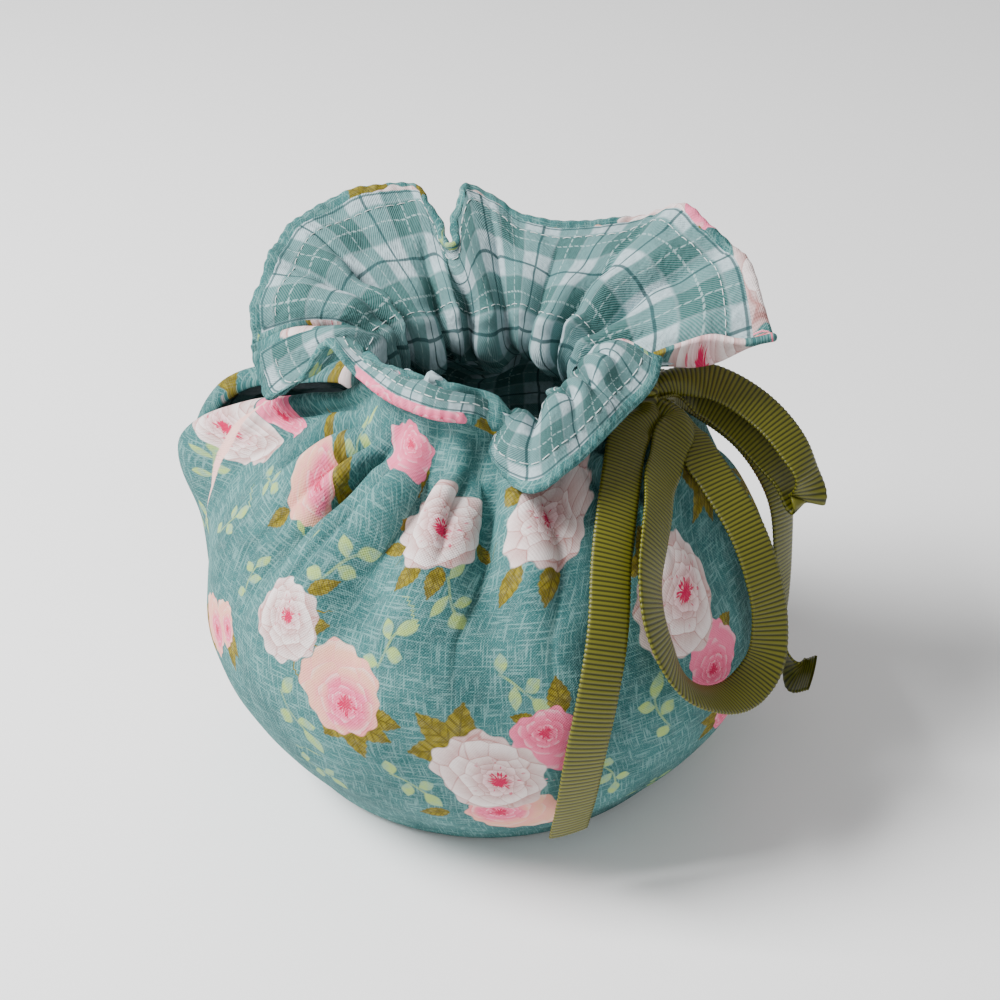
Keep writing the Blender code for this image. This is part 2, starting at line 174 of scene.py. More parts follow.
BACK_RIM: Table = (
    ("handle edge", 105, 101, 67.5, 117.0, 14, 18, 10),
    ("scoop", 110, 105, 68.0, 113.5, 3, 25, 28),
    ("right tip", 117, 112, 66.5, 119.0, 8, 18, 14),
    ("right shelf", 127, 125, 68.0, 123.0, 10, 15, 16),
    ("right corner", 137, 137, 66.5, 126.0, 11, 14, 22),
    ("right peak", 146, 147, 66.0, 128.5, 11, 14, 26),
    ("peak foot", 152, 153, 60.5, 125.0, 11, 12, 32),
    ("back right", 162, 164, 54.0, 123.0, 12, 10, 42),
    ("back", 171, 176, 51.0, 123.0, 12, 9, 46),
    ("back left", 177, 185, 52.0, 124.0, 12, 9, 46),
    ("puff foot", 182, 191, 54.0, 127.0, 12, 9, 46),
    ("puff", 188, 199, 56.0, 130.0, 12, 10, 42),
    ("puff side", 195, 204, 47.0, 126.0, 12, 9, 50),
    ("deep valley", 202, 207, 39.0, 121.5, 11, 8, 58),
    ("shell side", 209, 209, 50.0, 127.0, 12, 9, 46),
    ("shell corner", 215, 211, 58.0, 130.0, 12, 11, 36),
    ("shell top", 223, 219, 61.5, 129.5, 12, 12, 30),
    ("shell", 233, 231, 65.5, 127.0, 12, 14, 24),
    ("shell left", 243, 242, 66.0, 124.0, 13, 14, 14),
    ("left side", 256, 257, 60.5, 119.0, 15, 14, -4),
    ("left fall", 264, 265, 59.5, 113.0, 17, 14, -22),
    ("spout seam", 270, 268, 58.5, 105.0, 18, 14, -35),
)


def numbers(table: Table) -> Array:
    """A named table's numbers, without its first column of names."""
    return np.array([row[1:] for row in table], float)


def through(rows: Array, at: Array) -> Array:
    """Reads a smooth curve through a table's rows.

    Args:
        rows: the table, whose first column is the place along the curve.
        at: places to read.

    Returns:
        The other columns' values there, in a last axis of their own.
    """
    places, values = rows[:, 0], rows[:, 1:]
    slopes = np.gradient(values, places, axis=0)
    k = np.clip(np.searchsorted(places, at, side="right") - 1, 0, len(places) - 2)
    span = (places[k + 1] - places[k])[..., None]
    t = (np.asarray(at, float)[..., None] - places[k][..., None]) / span
    return (
        (1 + 2 * t) * (1 - t) ** 2 * values[k]
        + t * (1 - t) ** 2 * span * slopes[k]
        + t**2 * (3 - 2 * t) * values[k + 1]
        - t**2 * (1 - t) * span * slopes[k + 1]
    )


def unit(vectors: Array) -> Array:
    """Vectors scaled to length 1."""
    return vectors / np.maximum(np.linalg.norm(vectors, axis=-1, keepdims=True), 1e-9)


def distances(line: Array) -> Array:
    """How far along a line each of its points lies."""
    return np.concatenate([[0], np.cumsum(np.linalg.norm(np.diff(line, axis=0), axis=1))])


def hump(x: Array, middle: float, width: float) -> Array:
    """A smooth hill of height 1."""
    return np.exp(-(((x - middle) / width) ** 2))


def ease(x: Array) -> Array:
    """Goes smoothly from 0 to 1 as x does, and stays there."""
    x = np.clip(x, 0, 1)
    return x * x * (3 - 2 * x)


def band(x: Array, start: float, rise: float, end: float, fall: float) -> Array:
    """Rises smoothly from 0 to 1 past its start, over a length, and falls again past its end."""
    return ease((x - start) / rise) * (1 - ease((x - end) / fall))


def ribbing(distance: Array) -> Array:
    """The ribbon's ribs: 0 between them and 1 on them."""
    return 0.5 - 0.5 * np.cos(2 * np.pi * distance / RIB)


def at_bearing(bearing: Array, reach: Array, height: Array) -> Array:
    """Points from a bearing in degrees, a reach from the axis and a height."""
    angle = np.radians(bearing)
    return np.stack(
        [AXIS[0] + reach * np.sin(angle), AXIS[1] - reach * np.cos(angle), height + 0 * angle],
        axis=-1,
    )


def outward(bearing: Array, slope_deg: Array) -> Array:
    """Unit vectors out from the axis at a bearing, tipped up by a slope."""
    angle, slope = np.radians(bearing), np.radians(slope_deg)
    return np.stack(
        [np.cos(slope) * np.sin(angle), -np.cos(slope) * np.cos(angle), np.sin(slope) + 0 * angle],
        axis=-1,
    )


def fold_depth(bearing: Array, share: Array) -> Array:
    """How far the large folds lift or sink the cloth below the neck."""
    depth = 0 * bearing * share
    for _, at_neck, at_foot, deep, width, foot in FOLDS:
        down = np.clip((1 - share) / (1 - foot), 0, 1)
        turn = (bearing - at_neck - (at_foot - at_neck) * down + 180) % 360 - 180
        spread = width * (FOLD_NECK_WIDTH + (FOLD_FOOT_WIDTH - FOLD_NECK_WIDTH) * down)
        strength = FOLD_NECK_DEPTH + (1 - FOLD_NECK_DEPTH) * ease(down / FOLD_FULL_AT)
        strength = strength * (1 - ease((down - FOLD_FADES_AT) / (1 - FOLD_FADES_AT)))
        depth = depth + deep * strength * hump(turn, 0, spread)
    return depth


def spout_bulge(bearing: Array, share: Array) -> Array:
    """How far the cloth stands out round the spout hole."""
    back, back_full, front_full, front = BULGE_BEARINGS
    turn = (bearing + 180) % 360 - 180
    around = ease((front - turn) / (front - front_full)) * ease((turn - back) / (back_full - back))
    return SPOUT_BULGE * around * hump(share, BULGE_MIDDLE, BULGE_WIDTH)


def body_points(bearing: Array, share: Array) -> Array:
    """The cosy's outer face between hem and neck."""
    outline, step = numbers(OUTLINE), 0.004
    radius, height = np.moveaxis(through(outline, share), -1, 0)
    rise = through(outline, np.clip(share + step, 0, 1)) - through(outline, np.clip(share - step, 0, 1))
    slope = np.degrees(np.arctan2(-rise[..., 0], rise[..., 1]))
    points = at_bearing(bearing, radius + spout_bulge(bearing, share), height)
    return points + fold_depth(bearing, share)[..., None] * outward(bearing, slope)


def ruffle_points(bearing: Array, along: Array, rim: Table) -> Array:
    """The ruffle's outer face: each strip leaves the neck steeply and curls over to the rim."""
    rim_bearing, reach, height, stand, curl, fall = np.moveaxis(through(numbers(rim), bearing), -1, 0)
    root = body_points(bearing, np.ones_like(bearing))
    edge = at_bearing(rim_bearing, reach, height)
    risen = root + stand[..., None] * outward(bearing, NECK_RISE_DEG + 0 * bearing)
    before = edge - curl[..., None] * outward(rim_bearing, fall)
    t = along[..., None]
    lower = (1 - t) ** 3 * root + 3 * t * (1 - t) ** 2 * risen
    return lower + 3 * t**2 * (1 - t) * before + t**3 * edge


class Side(Enum):
    """Which half of the cosy a panel is."""

    FRONT = "front"
    BACK = "back"

    @property
    def rim(self) -> Table:
        """The ruffle's rim on this side."""
        return FRONT_RIM if self is Side.FRONT else BACK_RIM

    def edges(self, share: Array) -> tuple[Array, Array, Array, Array]:
        """The panel's left and right bearing at each share of the cloth, and how far each stands open."""
        radius = through(numbers(OUTLINE), share)[..., 0]
        inset = np.degrees(SEAM_GAP / radius)
        spout, spout_open = np.moveaxis(through(numbers(SPOUT_SEAM), share), -1, 0)
        handle, handle_open = np.moveaxis(through(numbers(HANDLE_SEAM), share), -1, 0)
        spout_half = np.maximum(spout_open, 0) / 2 + inset
        handle_half = np.maximum(handle_open, 0) / 2 + inset
        if self is Side.FRONT:
            return spout + spout_half, handle - handle_half, spout_open, handle_open
        return handle + handle_half, spout - spout_half + 360, handle_open, spout_open


@dataclass(frozen=True)
class Gathers:
    """Small pleats that the drawstring draws into the cloth round the neck.

    Args:
        count: pleats all round.
        seed: sets their uneven widths, sizes and lengths.
        spans: the least and the most of those, as shares of the usual.
        outer, inner: how far they puff out of the shell and into the neck, inside the casing.
        above, below: how deep they run on above and below the casing.
        calm: how much shallower they are where the front of the ruffle turns over sharply.
        calm_over: the bearings where that starts, is full, stops being full and ends.
        casing: distances up from the neck as a band has them, of the puffed part.
        run_up, run_down: the same for the pleats above it, and down from the neck for those below.
    """

    count: int = 23
    seed: int = 11
    spans: Table = ((0.6, 1.4), (0.65, 1.3), (0.5, 1.5))
    outer: float = 2.0
    inner: float = 5.2
    above: float = 6.4
    below: float = 5.2
    calm: float = 0.9
    calm_over: tuple[float, ...] = (-88.0, -66.0, 24.0, 42.0)
    casing: tuple[float, ...] = (-9.0, 4.0, 6.0, 5.0)
    run_up: tuple[float, ...] = (3.0, 7.0, 10.0, 32.0)
    run_down: tuple[float, ...] = (5.0, 8.0, 12.0, 44.0)

    def pleats(self, bearing: Array) -> tuple[Array, Array, Array]:
        """Each place's height on its pleat from 0 at a crease to 1, and that pleat's size and length."""
        rng = np.random.default_rng(self.seed)
        widths, sizes, lengths = (rng.uniform(*span, self.count) for span in self.spans)
        creases = -90 + 360 * np.concatenate([[0], np.cumsum(widths)]) / widths.sum()
        k = np.clip(np.searchsorted(creases, bearing, side="right") - 1, 0, self.count - 1)
        across = (bearing - creases[k]) / (creases[k + 1] - creases[k])
        roundness = 0.75
        return np.sin(np.pi * np.clip(across, 0, 1)) ** roundness, sizes[k], lengths[k]

    def moves(self, bearing: Array, distance: Array) -> tuple[Array, Array, Array]:
        """How far the whole cloth, its outer face and its inner face move out of the cosy.

        Args:
            bearing: at the neck.
            distance: along the cloth from the neck, up being positive.
        """
        height, size, length = self.pleats(bearing)
        start, full, fading, end = self.calm_over
        calmed = size * (1 - self.calm * band(bearing, start, full - start, fading, end - fading))
        puff = calmed * (height - 0.25) * band(distance, *self.casing)
        over = band(distance, *self.run_up[:3], self.run_up[3] * length)
        under = band(-distance, *self.run_down[:3], self.run_down[3] * length)
        whole = (self.below * under * size - self.above * over * calmed) * (height - 0.5)
        return whole, self.outer * puff, -self.inner * puff


@dataclass(frozen=True)
class Wrinkles:
    """Faint dents in the worn cloth, as waves through space that don't stop at a seam.

    Args:
        waves, seed: how many waves, and what sets them.
        size: how far the longest moves the cloth.
        shortest, longest: their lengths.
    """

    waves: int = 14
    seed: int = 3
    size: float = 0.22
    shortest: float = 14.0
    longest: float = 45.0

    def at(self, points: Array) -> Array:
        """How far out the cloth moves at each point."""
        rng = np.random.default_rng(self.seed)
        total = np.zeros(points.shape[:-1])
        for _ in range(self.waves):
            length = rng.uniform(self.shortest, self.longest)
            turn = 2 * np.pi / length * unit(rng.normal(size=3))
            total += self.size * (length / self.longest) * np.sin(points @ turn + rng.uniform(0, 6.28))
        return total


@dataclass(frozen=True)
class Placket:
    """The front panel's turned edge, which lies over the cloth that bulges round the spout.

    Args:
        line: the edge, as shares of the cloth and bearings.
        step: how far the front panel stands over the bulge.
        rise, run_out: across the cloth, where that step is made and where it is lost again.
        dent: how deep the cloth sinks beside the edge, where, and how widely.
        fade: how far from each end of the line the step runs out, as a share of the cloth.
        degree: millimetres to a degree there.
    """

    line: Table = (
        ("foot", 0.54, -81.0),
        ("low", 0.60, -81.0),
        ("middle", 0.69, -82.0),
        ("high", 0.76, -83.3),
        ("top", 0.82, -86.0),
        ("end", 0.90, -91.0),
    )
    step: float = 2.2
    rise: float = 1.2
    run_out: float = 14.0
    dent: tuple[float, float, float] = (0.9, -1.4, 2.4)
    fade: float = 0.05
    degree: float = 1.2

    def distance(self, bearing: Array, share: Array) -> Array:
        """Millimetres across the cloth from the edge, positive towards the front."""
        edge = through(numbers(self.line), np.clip(share, self.line[0][1], self.line[-1][1]))[..., 0]
        return (bearing - edge) * self.degree

    def reach(self, share: Array) -> Array:
        """1 along the edge and 0 past its ends."""
        low, high = self.line[0][1], self.line[-1][1]
        return ease((share - low + self.fade) / (2 * self.fade)) * (1 - ease((share - high) / self.fade + 1))

    def moves(self, bearing: Array, share: Array) -> Array:
        """How far out the cloth moves for the step."""
        across = self.distance(bearing, share)
        over = self.step * ease(across / self.rise + 0.5) * (1 - ease(across / self.run_out))
        depth, middle, width = self.dent
        return (over - depth * hump(across, middle, width)) * self.reach(share)


@dataclass
class Cloth:
    """One panel's shell and lining as grids of points, in rows from hem to rim.

    Args:
        side: front or back.
        gathers, wrinkles, placket: what shapes its whole height.
        crumples: the finer dents of the neck and the ruffle.
        pucker: how far the rim's edge waves between its stitches, how soon that fades, and a wave's length.
    """

    side: Side
    gathers: Gathers = Gathers()
    wrinkles: Wrinkles = Wrinkles()
    crumples: Wrinkles = Wrinkles(waves=18, seed=8, size=0.26, shortest=7.0, longest=18.0)
    placket: Placket = Placket()
    pucker: tuple[float, float, float] = (0.22, 3.5, 3.9)

    def __post_init__(self) -> None:
        ruffle = 1 + np.arange(1, RUFFLE_ROWS) / (RUFFLE_ROWS - 1)
        self.rise = rise = np.concatenate([np.linspace(0, 1, BODY_ROWS), ruffle])
        place = np.linspace(0, 1, COLUMNS)
        share, along = np.minimum(rise, 1), np.maximum(rise - 1, 0)
        left, right, left_open, right_open = self.side.edges(share)
        self.open_left, self.open_right = (rise > 1) | (left_open > AJAR), (rise > 1) | (right_open > AJAR)
        bearing = left[:, None] + (right - left)[:, None] * place
        base = self.smooth(bearing, share, along)
        to_rim = (2 - rise[:, None]) * RUFFLE_LENGTH + 0 * bearing
        self.add_relief(base, bearing, share, along, to_rim)
        radius = through(numbers(OUTLINE), share)[:, 0]
        belly = through(numbers(OUTLINE), np.array(BELLY))[0]
        width = np.where(rise < BELLY, radius / belly, 1.0)[:, None]
        seen = np.linalg.norm(np.diff(base, axis=1), axis=-1).sum(axis=1)[:, None]
        self.print_u = (place - 0.5) * np.minimum(seen, PANEL_WIDTH)
        self.u = (place - 0.5) * PANEL_WIDTH * width
        self.v = (BODY_LENGTH * share + RUFFLE_LENGTH * along)[:, None] + 0 * bearing
        to_left = place * PANEL_WIDTH + np.where(self.open_left[:, None], 0, VERY_FAR)
        to_right = (1 - place) * PANEL_WIDTH + np.where(self.open_right[:, None], 0, VERY_FAR)
        self.to_border = np.minimum(np.minimum(to_left, to_right), to_rim)

    def smooth(self, bearing: Array, share: Array, along: Array) -> Array:
        """The cloth's outer face before its small relief, with the sharp turn at the neck rounded off."""
        base = body_points(bearing, np.broadcast_to(share[:, None], bearing.shape))
        above = self.rise > 1
        up = np.broadcast_to(along[above, None], bearing[above].shape)
        base[above] = ruffle_points(bearing[above], up, self.side.rim)
        reach, spread, near_neck = 5, 2.6, 0.07
        kernel = hump(np.arange(-reach, reach + 1), 0, spread)
        padded = np.pad(base, ((reach, reach), (0, 0), (0, 0)), mode="edge")
        blurred = sum(k * padded[i : i + len(base)] for i, k in enumerate(kernel / kernel.sum()))
        near = hump(self.rise, 1.0, near_neck)[:, None, None]
        return base * (1 - near) + blurred * near

    def add_relief(self, base: Array, bearing: Array, share: Array, along: Array, to_rim: Array) -> None:
        """Makes the outer and the inner face with pleats, dents, the placket's step and the rim's pucker."""
        rise, normals = self.rise[:, None], self.normals_of(base)
        distance = np.where(self.rise > 1, along * RUFFLE_LENGTH, (share - 1) * BODY_LENGTH)[:, None]
        at_neck = np.broadcast_to(bearing[-1], bearing.shape)
        whole, outer, inner = self.gathers.moves(at_neck, distance + 0 * bearing)
        whole = whole + self.wrinkles.at(base) * ease((rise - 0.06) / 0.1)
        whole = whole + self.crumples.at(base) * ease((rise - 0.93) / 0.12)
        self.placket_mm = np.full_like(bearing, FAR)
        if self.side is Side.FRONT:
            shares = np.broadcast_to(share[:, None], bearing.shape)
            from_edge = self.placket.distance(bearing, shares)
            self.placket_mm = np.where(self.placket.reach(shares) > 0.3, from_edge, FAR)
            whole = whole + self.placket.moves(bearing, shares) * (rise <= 1)
        size, fade, wave = self.pucker
        along_rim = np.linspace(0, 1, COLUMNS) * PANEL_WIDTH
        pucker = size * np.exp(-to_rim / fade) * np.sin(along_rim * 2 * np.pi / wave)
        self.outer = base + (whole + outer + pucker)[..., None] * normals
        self.inner = base + (whole + inner + pucker - THICKNESS)[..., None] * normals

    @staticmethod
    def normals_of(grid: Array) -> Array:
        """Unit vectors out of the cloth at each point of a grid."""
        return unit(np.cross(np.gradient(grid, axis=1), np.gradient(grid, axis=0)))


@dataclass
class Edged:
    """A shell's grid carried round its borders: each free edge rolls over and ends a little way inside.

    Args:
        cloth: the panel.
        turn: steps of the roll.
        strip: grid steps that the shell runs on down the inside.
        strip_step: millimetres to one of those steps.
        lift: how far the strip stands off the lining.
    """

    cloth: Cloth
    turn: int = 6
    strip: int = 3
    strip_step: float = 1.6
    lift: float = 0.14

    def __post_init__(self) -> None:
        cloth = self.cloth
        rows, columns = cloth.outer.shape[:2]
        row_at, row_angle, row_deep = self.profile(rows)
        column_at, column_angle, column_deep = self.profile(columns)
        number = np.arange(len(column_at))
        closed = (~cloth.open_left)[row_at][:, None] & (number < self.strip)
        closed |= (~cloth.open_right)[row_at][:, None] & (number >= len(column_at) - self.strip)
        down, left = np.where(row_at < rows // 2, -1, 1), column_at < columns // 2
        self.at_column = np.where(closed, np.where(left, 0, columns - 1), column_at)
        self.at_row = np.broadcast_to(row_at[:, None], self.at_column.shape)
        self.angle = np.maximum(row_angle[:, None], column_angle[None])
        outer, inner, up, across = (
            grid[self.at_row, self.at_column]
            for grid in (cloth.outer, cloth.inner, *(unit(np.gradient(cloth.outer, axis=k)) for k in (0, 1)))
        )
        middle, half = (outer + inner) / 2, (outer - inner) / 2
        up = up * down[:, None, None] * np.sin(row_angle)[:, None, None]
        across = across * np.where(left, -1, 1)[None, :, None]
        away = unit(up + across * np.sin(column_angle)[None, :, None])
        size = np.linalg.norm(half, axis=-1, keepdims=True)
        lift = self.lift * np.minimum(1, self.strip - np.maximum(row_deep[:, None], column_deep[None]))
        inside = (self.angle > NEARLY_OVER)[..., None] * unit(-half) * lift[..., None]
        angle = self.angle[..., None]
        self.points = middle + half * np.cos(angle) + away * size * np.sin(angle) + inside
        past_edge = THICKNESS / 2 * np.where(row_deep > 0, np.pi, row_angle) + self.strip_step * row_deep
        self.v = cloth.v[self.at_row, self.at_column] + (past_edge * down)[:, None]
        self.u = cloth.print_u[self.at_row, self.at_column]

    def profile(self, count: int) -> tuple[Array, Array, Array]:
        """What a line of the grid runs through from inside one edge to inside the other.

        Returns:
            At each step: the grid step, the roll's angle, and how many steps deep it lies inside.
        """
        strip, roll = np.arange(self.strip, 0, -1), np.linspace(np.pi, 0, self.turn + 1)[:-1]
        last = count - 1
        at = [strip, np.zeros(self.turn, int), np.arange(count), np.full(self.turn, last), last - strip[::-1]]
        over = np.full(self.strip, np.pi)
        angle = np.concatenate([over, roll, np.zeros(count), roll[::-1], over])
        deep = np.concatenate([strip, np.zeros(self.turn + count + self.turn, int), strip[::-1]])
        return np.concatenate(at), angle, deep


def add_grid(name: str, points: Array, material: Material, flip: bool = False, wrap: bool = False) -> Object:
    """Makes a mesh object from a grid of points.

    Args:
        name: the object's name.
        points: rows by columns by 3, in millimetres. Its faces point to columns crossed with rows.
        material: its only one.
        flip: turns the faces round.
        wrap: joins the last column to the first.
    """
    rows, columns = points.shape[:2]
    quads = quads_of(np.arange(rows * columns).reshape(rows, columns), wrap)
    if flip:
        quads = quads[:, ::-1]
    at_row, at_column = np.divmod(quads, columns)
    uv = np.stack([at_column / max(columns - 1, 1), at_row / max(rows - 1, 1)], axis=-1)
    return add_mesh(name, points.reshape(-1, 3), quads, uv, material)


def quads_of(index: Array, wrap: bool = False) -> Array:
    """The faces between a grid's points, given each point's number."""
    if wrap:
        index = np.concatenate([index, index[:, :1]], axis=1)
    corners = [index[:-1, :-1], index[:-1, 1:], index[1:, 1:], index[1:, :-1]]
    return np.stack(corners, axis=-1).reshape(-1, 4)


def add_mesh(name: str, points: Array, quads: Array, uv: Array, material: Material) -> Object:
    """Makes a smooth mesh object from points in millimetres, quads and their corners' places on a map."""
    mesh = bpy.data.meshes.new(name)
    mesh.vertices.add(len(points))
    mesh.vertices.foreach_set("co", (points * MM).astype(np.float32).ravel())
    mesh.loops.add(quads.size)
    mesh.loops.foreach_set("vertex_index", quads.astype(np.int32).ravel())
    mesh.polygons.add(len(quads))
    mesh.polygons.foreach_set("loop_start", np.arange(0, quads.size, 4, dtype=np.int32))
    mesh.update(calc_edges=True)
    layer = mesh.uv_layers.new(name="OFBake")
    layer.uv.foreach_set("vector", uv.astype(np.float32).ravel())
    mesh.shade_smooth()
    mesh.materials.append(material)
    log.info("%s: %d faces", name, len(quads))
    return add_object(name, mesh)


def add_object(name: str, data: bpy.types.ID) -> Object:
    """Puts a mesh, a lamp or a camera in the scene."""
    made = bpy.data.objects.new(name, data)
    bpy.context.scene.collection.objects.link(made)
    return made


def stand_for(made: Object, node: str) -> None:
    """Puts a piece on the frame in its CAD node's stead."""
    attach(made, "root")
    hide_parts(node)


def keep(made: Object, name: str, values: Array) -> None:
    """Stores a number or a vector at each of an object's points, for its material."""
    is_vector = values.size == 3 * len(made.data.vertices)
    attribute = made.data.attributes.new(name, "FLOAT_VECTOR" if is_vector else "FLOAT", "POINT")
    attribute.data.foreach_set("vector" if is_vector else "value", values.astype(np.float32).ravel())


def keep_map(made: Object, u: Array, v: Array) -> None:
    """Stores each point's place on the flat cloth."""
    keep(made, "cloth", np.stack([u, v, 0 * u], axis=-1))


Operand = Union["Signal", float]


def operator(operation: str, reflected: bool = False) -> Callable[["Signal", Operand], "Signal"]:
    """A sum of a signal and another operand, which comes first in a reflected one."""

    def result(self: "Signal", other: Operand) -> "Signal":
        return self.graph.math(operation, *((other, self) if reflected else (self, other)))

    return result


@dataclass(frozen=True)
class Signal:
    """One output of a shader node, which takes part in sums like a number."""

    graph: "Graph"
    socket: Socket

    __add__, __radd__ = operator("ADD"), operator("ADD", True)
    __sub__, __rsub__ = operator("SUBTRACT"), operator("SUBTRACT", True)
    __mul__, __rmul__ = operator("MULTIPLY"), operator("MULTIPLY", True)
    __truediv__, __rtruediv__ = operator("DIVIDE"), operator("DIVIDE", True)


def function(operation: str) -> Callable[..., Signal]:
    """A shader's function of numbers, the first of which is a signal."""
    return lambda first, *others: first.graph.math(operation, first, *others)


sine, cosine, arctan = function("SINE"), function("COSINE"), function("ARCTAN2")
absolute, larger, smaller = function("ABSOLUTE"), function("MAXIMUM"), function("MINIMUM")


def step(value: Signal, low: Operand, high: Operand) -> Signal:
    """Goes smoothly from 0 to 1 as value goes from low to high."""
    inputs = {0: value, 1: low, 2: high, 3: 0.0, 4: 1.0}
    graph = value.graph
    return graph.out(graph.node("ShaderNodeMapRange", {"interpolation_type": "SMOOTHSTEP"}, inputs))


def length_of(x: Signal, y: Signal) -> Signal:
    """How far a place lies from the origin."""
    return x.graph.math("SQRT", x * x + y * y)


class Graph:
    """A material's shader nodes.

    Args:
        name: the material's name.
    """

    def __init__(self, name: str) -> None:
        self.material = bpy.data.materials.new(name)
        self.material.use_nodes = True
        self.tree = self.material.node_tree
        self.shader = self.tree.nodes["Principled BSDF"]

    def node(self, kind: str, settings: dict | None = None, inputs: dict | None = None) -> bpy.types.Node:
        """Adds a node.

        Args:
            kind: the node's type.
            settings: its properties, set first.
            inputs: values or signals for its sockets, by name or number.
        """
        made = self.tree.nodes.new(kind)
        for key, value in (settings or {}).items():
            setattr(made, key, value)
        for key, value in (inputs or {}).items():
            self.feed(made.inputs[key], value)
        return made

    def feed(self, socket: Socket, value: object) -> None:
        """Links a signal to a socket, or sets the socket's own value."""
        if isinstance(value, Signal):
            self.tree.links.new(value.socket, socket)
        elif isinstance(value, tuple) and len(value) == 3 and socket.type == "RGBA":
            socket.default_value = (*value, 1.0)
        else:
            socket.default_value = value

    def out(self, node: bpy.types.Node, output: Union[str, int] = 0) -> Signal:
        """One of a node's outputs."""
        return Signal(self, node.outputs[output])

    def math(self, operation: str, *values: Operand) -> Signal:
        """A sum or function of numbers."""
        return self.out(self.node("ShaderNodeMath", {"operation": operation}, dict(enumerate(values))))

    def vector(self, x: Operand, y: Operand, z: Operand = 0.0) -> Signal:
        """A vector from three numbers."""
        return self.out(self.node("ShaderNodeCombineXYZ", None, {0: x, 1: y, 2: z}))

    def parts(self, vector: Signal) -> tuple[Signal, Signal, Signal]:
        """A vector's three numbers."""
        node = self.node("ShaderNodeSeparateXYZ", None, {0: vector})
        return self.out(node, 0), self.out(node, 1), self.out(node, 2)

    def mix(self, factor: Operand, a: object, b: object) -> Signal:
        """A colour between a and b."""
        return self.out(self.node("ShaderNodeMix", {"data_type": "RGBA"}, {0: factor, 6: a, 7: b}), 2)

    def attribute(self, name: str, vector: bool = False) -> Signal:
        """A number or a vector that is stored at the mesh's points."""
        return self.out(self.node("ShaderNodeAttribute", {"attribute_name": name}), 1 if vector else 2)

    def motif(self, layer: str) -> tuple[Signal, Signal, Signal, Signal]:
        """A layer's nearest motif: the place in it, its kind, and 1 where it is near."""
        parts = self.parts(self.attribute(layer, vector=True))
        return *parts, step(self.attribute(layer + "_near"), 0.4, 0.6)

    def noise(self, at: Signal, scale: float, detail: float = 2.0, roughness: float = 0.5) -> Signal:
        """Soft noise around 0.5."""
        inputs = {"Vector": at, "Scale": scale, "Detail": detail, "Roughness": roughness}
        return self.out(self.node("ShaderNodeTexNoise", None, inputs), 0)

    def bump(self, height: Signal, distance_mm: float, strength: float = 1.0) -> None:
        """Gives the surface a relief."""
        inputs = {"Height": height, "Distance": distance_mm * MM, "Strength": strength}
        self.feed(self.shader.inputs["Normal"], self.out(self.node("ShaderNodeBump", None, inputs)))

    def surface(self, colour: object, roughness: float, gloss: float = 0.5) -> Material:
        """Sets the surface's colour, roughness and how much it reflects, and hands back the material."""
        for name, value in (("Base Color", colour), ("Roughness", roughness), ("Specular IOR Level", gloss)):
            self.feed(self.shader.inputs[name], value)
        return self.material


@dataclass(frozen=True)
class Motif:
    """One motif of the floral print.

    Args:
        u, v: where it lies on the panel, from its middle and from the hem.
        size: its radius, or a leaf's or sprig's length.
        turn: how far it is turned, in degrees.
        kind: a bloom's kind, how many leaves it has on each side of its middle one, or a sprig's bend.
    """

    u: float
    v: float
    size: float
    turn: float
    kind: float

    def local(self, u: Array, v: Array) -> tuple[Array, Array]:
        """Places on the cloth, as seen from this motif and in its own size."""
        angle = np.radians(self.turn)
        across, up = (u - self.u) / self.size, (v - self.v) / self.size
        return np.cos(angle) * across + np.sin(angle) * up, np.cos(angle) * up - np.sin(angle) * across


def keep_motifs(made: Object, layer: str, motifs: list[Motif], u: Array, v: Array, reach: float) -> None:
    """Stores the nearest motif's view of each point of a mesh, and whether it is near.

    Args:
        made: the object.
        layer: the name of the layer of motifs.
        motifs: the layer's motifs, which lie clear of each other.
        u, v: each point's place on the cloth.
        reach: how many times its own size a motif may cover.
    """
    u, v = u.ravel(), v.ravel()
    views = np.array([motif.local(u, v) for motif in motifs])
    far = np.hypot(views[:, 0], views[:, 1])
    nearest = np.argmin(far, axis=0)
    x, y = (views[nearest, axis, np.arange(len(u))] for axis in (0, 1))
    kind = np.array([motif.kind for motif in motifs])[nearest]
    keep(made, layer, np.stack([x, y, kind], axis=-1))
    keep(made, layer + "_near", (far.min(axis=0) < reach).astype(float))


